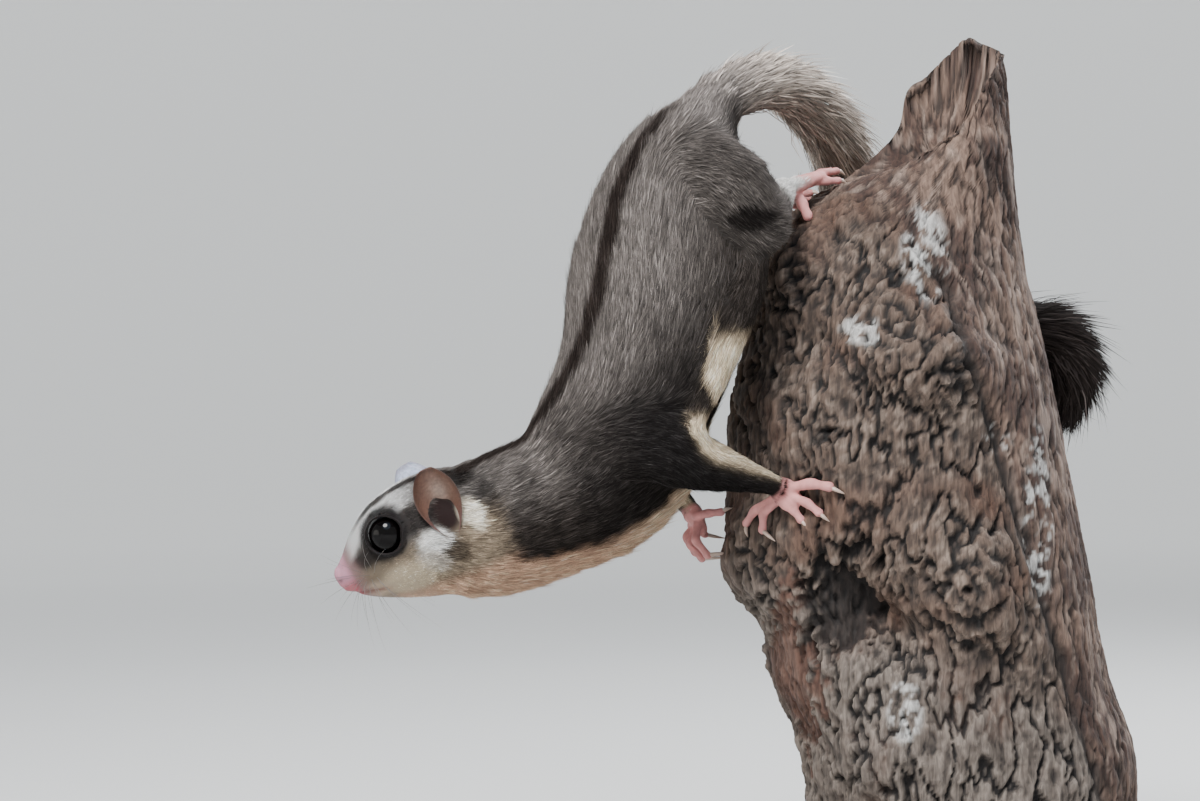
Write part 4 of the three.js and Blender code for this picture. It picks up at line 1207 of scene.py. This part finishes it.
def make_claws():
    mat, tree, shader = material("claw", 0.3)
    grain = add_node(tree, "ShaderNodeTexNoise", Scale=700.0)
    ramp_from(tree, grain.outputs["Fac"], (0.36, 0.25, 0.20), (0.58, 0.45, 0.37),
              shader.inputs["Base Color"])
    parts = []
    for paw in PAWS.values():
        back = np.array(paw["back"])
        for points, claw, _ in paw["digits"]:
            if claw is None:
                continue
            root, tip = np.array(points[-1]), np.array(claw)
            root = root * 0.9 + tip * 0.1
            bend = root * 0.45 + tip * 0.55 + back * 0.6
            rows = [
                (root, CLAW_RADIUS, CLAW_RADIUS * 1.2),
                (bend, CLAW_RADIUS * 0.75, CLAW_RADIUS * 0.95),
                (tip, CLAW_RADIUS * 0.12, CLAW_RADIUS * 0.14),
            ]
            parts.append(tube(rows, back, sides=10, steps=6))
    obj = new_mesh("claws", *joined(parts))
    smooth_shade(obj)
    finished(obj, mat, "pink_skin")


def bark_material():
    mat, tree, shader = material("bark", 0.85)
    grain = stretched_grain(tree, (900, 900, 140), Scale=1.0, Detail=6.0, Distortion=0.6)
    blend = add_node(tree, "ShaderNodeMix", data_type="RGBA", blend_type="MULTIPLY")
    blend.inputs["Factor"].default_value = 1.0
    from_coat(tree, blend.inputs["A"])
    ramp = ramp_from(tree, grain, (0.45, 0.42, 0.40), (1.45, 1.4, 1.35), blend.inputs["B"])
    ramp.color_ramp.elements[0].position = 0.3
    ramp.color_ramp.elements[1].position = 0.7
    tree.links.new(blend.outputs["Result"], shader.inputs["Base Color"])
    bump_from(tree, shader, grain, 0.7, 0.0008)
    return mat


def make_snag():
    """The snag as rings from its foot to its broken rim, closed over the crown and the foot."""
    around, high, crown = 420, 210, 14
    degrees = np.arange(around) / around * 360
    rim = SNAG_RIM(degrees)
    rows = []
    for i in range(high + 1):
        z = SNAG_FOOT + (rim - SNAG_FOOT) * i / high
        rows.append(snag_point(degrees, z))
    top = rows[-1]
    hub = np.array(CROWN_HUB)
    for k in range(1, crown + 1):
        inward = k / (crown + 0.5)
        ring = top * (1 - inward) + hub * inward
        ring[:, 2] = top[:, 2] + (hub[2] - top[:, 2]) * math.sqrt(inward)
        rows.append(ring)
    grid = np.array(rows)
    verts = grid.reshape(-1, 3)
    count = len(rows)
    j = np.arange(around)
    n = (j + 1) % around
    faces = []
    for i in range(count - 1):
        here, above = i * around, (i + 1) * around
        faces.append(np.stack([here + j, here + n, above + n, above + j], 1))
    _, tris = as_triangles(verts, np.concatenate(faces))
    centre_top, centre_foot = len(verts), len(verts) + 1
    verts = np.concatenate([verts, [hub], [FOOT_HUB]])
    last = (count - 1) * around
    tris = np.concatenate([
        tris, np.stack([np.full(around, centre_top), last + j, last + n], 1),
        np.stack([np.full(around, centre_foot), n, j], 1),
    ])
    verts, colour = bark(verts, tris)
    obj = new_mesh("snag", verts, tris)
    smooth_shade(obj)
    paint(obj, colour)
    finished(obj, bark_material(), "snag_wood", "perch_snag")


# Knots on the front of the snag: place across and up, size, ring spacing, and depth of the middle
SWIRLS = [
    (-41, 180, 10, 4.0, 4.5), (-14, 167, 10, 4.6, 2.0), (3, 153.5, 12, 5.2, 3.0),
    (4, 93.5, 13, 4.8, 3.5), (-33, 137, 4.5, 3.6, 5.0), (-20, 200, 6.0, 4.0, 2.0),
]
# The edge between the burls and the grained wood on the right: height, place across
WOOD_EDGE = ((28, 36, 145, 175, 200, 214, 260), (46, 43.6, 9.4, 0, -16, -60, -80))
# Pale patches of lichen: place across and up, half-sizes
LICHEN = [(-6, 186, 7, 14), (26, 113, 4.5, 26), (-24, 164, 6, 4), (14, 135, 5, 4), (-12, 60, 5, 9)]


def patch(x, z, centre, sizes):
    """1 inside an ellipse on the front of the snag, 0 outside it."""
    return 1 - smooth(np.hypot((x - centre[0]) / sizes[0], (z - centre[1]) / sizes[1]), 0.7, 1.15)


def bark(verts, tris):
    """Ridges, burls and cracks raised on the snag, and their colours, with painted shade in the hollows,
    cracks, grooves and seam and painted highlights on the ridges.
    """
    normal = normals_of(verts, tris)
    x, y, z = verts.T
    front = smooth(-y, -4, 8)
    lumps = noise_at(verts * np.array((1, 1, 0.7)), 11.0, 12, 4)
    warm = noise_at(verts, 20, 15, 2)
    fine = noise_at(verts, 3.0, 16, 4)
    edge = x - np.interp(z, *WOOD_EDGE) + 2.0 * lumps
    right = smooth(edge, -1.5, 2.5)
    seam = bell(edge, 1.8) * (z < 190)
    bent = verts + 2.0 * lumps[:, None] * np.array((1, 1, 0))
    rings = np.zeros(len(verts))
    for cx, cz, size, gap, pit in SWIRLS:
        gone = np.hypot(x - cx, z - cz)
        near = bell(gone, 1.25 * size) * front
        bent[:, 0] -= (x - cx) * near * 0.9
        ring = np.hypot(x - cx + 0.25 * (z - cz), 0.8 * (z - cz)) * (1 + 0.3 * lumps) + 1.5 * fine
        inner = np.exp(-((gone / size) ** 4)) * front
        rings += inner * 1.1 * np.sin(2 * math.pi * ring / gap)
        hole = np.hypot((x - cx) + (z - cz) * 0.6, (z - cz) * 1.5 - (x - cx) * 0.5)
        rings -= pit * bell(hole, 0.26 * size) * front
    cracks = np.abs(noise_at(bent * np.array((1, 1, 0.36)), 8.0, 13, 3))
    ridges = np.abs(noise_at(bent * np.array((1, 1, 0.06)), 4.2, 11, 3))
    split = 1 - smooth(cracks, 0.0, 0.16)
    groove = 1 - smooth(ridges, 0.0, 0.22)
    ragged = 0.55 * lumps + 0.3 * fine
    bare_strip = np.hypot((x + 42) / 8, (z - 66) / 25) + ragged
    bare_strip = (1 - smooth(bare_strip, 0.85, 1.05)) * front
    hollow = np.hypot((x + 29 - 0.25 * (z - 88)) / 11.5, (z - 87) / 15) + ragged
    hollow = (1 - smooth(hollow, 0.82, 1.06)) * front
    burl = 1.9 * lumps + 0.35 * fine - 2.2 * split - 0.5 * groove + rings + 0.6
    wood = -1.0 * groove + 0.25 * fine - 0.5 * smooth(warm, 0, 0.6)
    wooden = np.maximum(right, 0.85 * bare_strip)
    move = burl * (1 - wooden) + wood * wooden - 1.8 * seam - 3.5 * hollow
    move *= (z > SNAG_FOOT + 1)
    moved = verts + normal * move[:, None]
    # Painted light: the relief's hollows are painted dark as shade and its ridges light as highlights;
    # the paler bark and the grey bark below are laid only on the lit ridges.
    painted_light_relief = ((moved - soften(moved, tris, np.full(len(moved), 0.6), 10)) * normal).sum(1)
    shade = smooth(painted_light_relief, -0.6, 0.65)
    rough = mix((0.007, 0.0042, 0.0033), (0.092, 0.064, 0.049), shade)
    rough = mix(rough, (0.19, 0.150, 0.124), 0.75 * smooth(fine + 0.7 * warm, 0.1, 0.8) * shade)
    rough = mix(rough, (0.10, 0.050, 0.032), 0.5 * smooth(-warm, 0.0, 0.6))
    low = 1 - smooth(z + 0.4 * x, 62, 84)
    rough = mix(rough, (0.165, 0.150, 0.135), 0.6 * low * shade)
    # Painted shade: the cracks are painted near-black.
    rough = mix(rough, (0.003, 0.0016, 0.0013), 0.9 * split)
    grained = mix((0.042, 0.022, 0.016), (0.155, 0.104, 0.080), smooth(warm + 0.6 * fine, -0.5, 0.6))
    streak = noise_at(bent * np.array((1, 1, 0.035)), 3.4, 17, 2)
    grained = mix(grained, (0.24, 0.185, 0.155), 0.6 * smooth(streak, 0.12, 0.5))
    # Painted shade: the grooves between the grain's ridges are painted near-black.
    grained = mix(grained, (0.010, 0.0052, 0.0040), 0.85 * groove)
    grained = mix(grained, (0.080, 0.034, 0.022), bare_strip * 0.75)
    colour = mix(rough, grained, wooden)
    # Painted shade: the hollow and the seam at the edge of the grained wood are painted near-black.
    colour = mix(colour, (0.004, 0.002, 0.0016), np.maximum(0.88 * hollow, 0.75 * seam))
    pale = sum(patch(x, z, (cx, cz), (a, b)) for cx, cz, a, b in LICHEN) * front
    pale *= smooth(fine + 0.4 * lumps, 0.0, 0.35)
    return moved, mix(colour, (0.42, 0.43, 0.43), 0.85 * np.clip(pale, 0, 1))


def make_stand():
    lacquer, tree, shader = material("stand_lacquer", 0.35)
    grain = stretched_grain(tree, (0.15, 2.5, 2.5), Scale=60.0, Detail=6.0, Distortion=1.5)
    ramp_from(tree, grain, (0.018, 0.012, 0.009), (0.06, 0.038, 0.025), shader.inputs["Base Color"])
    shader.inputs["Coat Weight"].default_value = 0.4
    steel, _, shine = material("rod_steel", 0.3, (0.55, 0.55, 0.56))
    shine.inputs["Metallic"].default_value = 1.0
    for name, mat in (("stand_base", lacquer), ("stand_rod_left", steel), ("stand_rod_right", steel)):
        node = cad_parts[name]
        node.data.materials.clear()
        node.data.materials.append(mat)


def make_whiskers():
    mat, _, _ = material("whisker", 0.4, (0.16, 0.14, 0.13))
    parts = []
    for left in (1, -1):
        for row in range(4):
            for k in range(5):
                root = head_point(4.0 + 1.7 * k, left * (4.4 + 1.15 * k), -1.2 - 1.4 * row)
                reach = 15 + 3.2 * k + rng.uniform(-2, 3)
                way = -HEAD_BACK * (0.62 - 0.22 * k) + HEAD_LEFT * left * 0.8
                way = unit(way + HEAD_UP * (0.55 - 0.4 * row) + 0.1 * rng.normal(size=3))
                droop = unit(HEAD_BACK * 0.5 - HEAD_UP * 0.4)
                rows = [(root + way * reach * s + droop * reach * 0.13 * s * s,
                         0.075 * (1 - 0.85 * s), 0.075 * (1 - 0.85 * s)) for s in (0, 0.35, 0.7, 1)]
                parts.append(tube(rows, HEAD_UP, sides=4, steps=4))
    obj = new_mesh("whiskers", *joined(parts))
    finished(obj, mat, "face_fur")


# Studio

FLOOR_RADIUS = 3200
WALL_CURVE = 800
WALL_TOP = 3400
WALL_GLOW = 0.40


def make_stage():
    """A pale floor that curves up into a softly lit wall all round."""
    around = 96
    line = [(r, 0) for r in (200, 450, 700, 1000, 1400, 1900, 2500, FLOOR_RADIUS)]
    for a in np.linspace(0, math.pi / 2, 16)[1:]:
        line.append((FLOOR_RADIUS + WALL_CURVE * math.sin(a), WALL_CURVE * (1 - math.cos(a))))
    line.append((FLOOR_RADIUS + WALL_CURVE, WALL_TOP))
    turn = np.arange(around) / around * 2 * math.pi
    verts = [np.zeros((1, 3))]
    for radius, height in line:
        ring = np.stack([np.cos(turn) * radius, np.sin(turn) * radius, np.full(around, height)], 1)
        verts.append(ring)
    j = np.arange(around)
    n = (j + 1) % around
    tris = [np.stack([np.zeros(around, int), 1 + j, 1 + n], 1)]
    for i in range(len(line) - 1):
        low, high = 1 + i * around, 1 + (i + 1) * around
        tris.append(np.stack([low + j, high + j, high + n], 1))
        tris.append(np.stack([low + j, high + n, low + n], 1))
    verts = np.concatenate(verts)
    floor = new_mesh("floor", verts, np.concatenate(tris))
    smooth_shade(floor)
    glow = WALL_GLOW * smooth(np.hypot(verts[:, 0], verts[:, 1]), 600, 2400)
    paint(floor, glow[:, None] * np.array((0.98, 1.0, 1.0)))
    mat, tree, shader = material("floor", 0.8, (0.62, 0.62, 0.61))
    from_coat(tree, shader.inputs["Emission Color"])
    shader.inputs["Emission Strength"].default_value = 1.0
    floor.data.materials.append(mat)


def lamp(name, place, target, size, power, colour):
    data = bpy.data.lights.new(name, "AREA")
    data.shape = "DISK"
    data.size = size
    data.energy = power
    data.color = colour
    obj = placed(name, data)
    obj.location = Vector(place)
    obj.rotation_euler = (Vector(target) - Vector(place)).to_track_quat("-Z", "Y").to_euler()


def make_lights():
    target = (-0.06, -0.02, 0.15)
    lamp("key", (-0.35, -0.75, 1.0), target, 0.45, 24, (1.0, 0.98, 0.95))
    lamp("rim", (0.55, 0.55, 0.9), target, 0.5, 18, (0.95, 0.97, 1.0))
    lamp("fill", (-1.2, -0.5, 0.1), target, 0.8, 5, (1.0, 0.95, 0.88))
    lamp("sky", (-0.25, -1.5, 1.7), target, 1.7, 18, (0.55, 0.75, 1.0))
    world = bpy.data.worlds.new("studio")
    world.use_nodes = True
    world.node_tree.nodes["Background"].inputs["Color"].default_value = (0.85, 0.9, 1.0, 1)
    world.node_tree.nodes["Background"].inputs["Strength"].default_value = 0.3
    bpy.context.scene.world = world


CAMERA_AWAY = 950
CAMERA_DEPTH = -30
PICTURE_WIDTH = 333.33
CAMERA_CENTRE = (-95.83, 145.25)
SENSOR = 36


def make_camera():
    data = bpy.data.cameras.new("camera")
    data.sensor_width = SENSOR
    data.lens = SENSOR * CAMERA_AWAY / PICTURE_WIDTH
    data.clip_start, data.clip_end = 0.05, 20
    obj = placed("camera", data)
    x, z = CAMERA_CENTRE
    obj.location = Vector((x, CAMERA_DEPTH - CAMERA_AWAY, z)) * MM
    obj.rotation_euler = (math.pi / 2, 0, 0)
    bpy.context.scene.camera = obj


make_camera()
make_stage()
make_lights()
make_snag()
make_stand()
make_animal()
make_eyes()
make_ears()
make_claws()
make_whiskers()
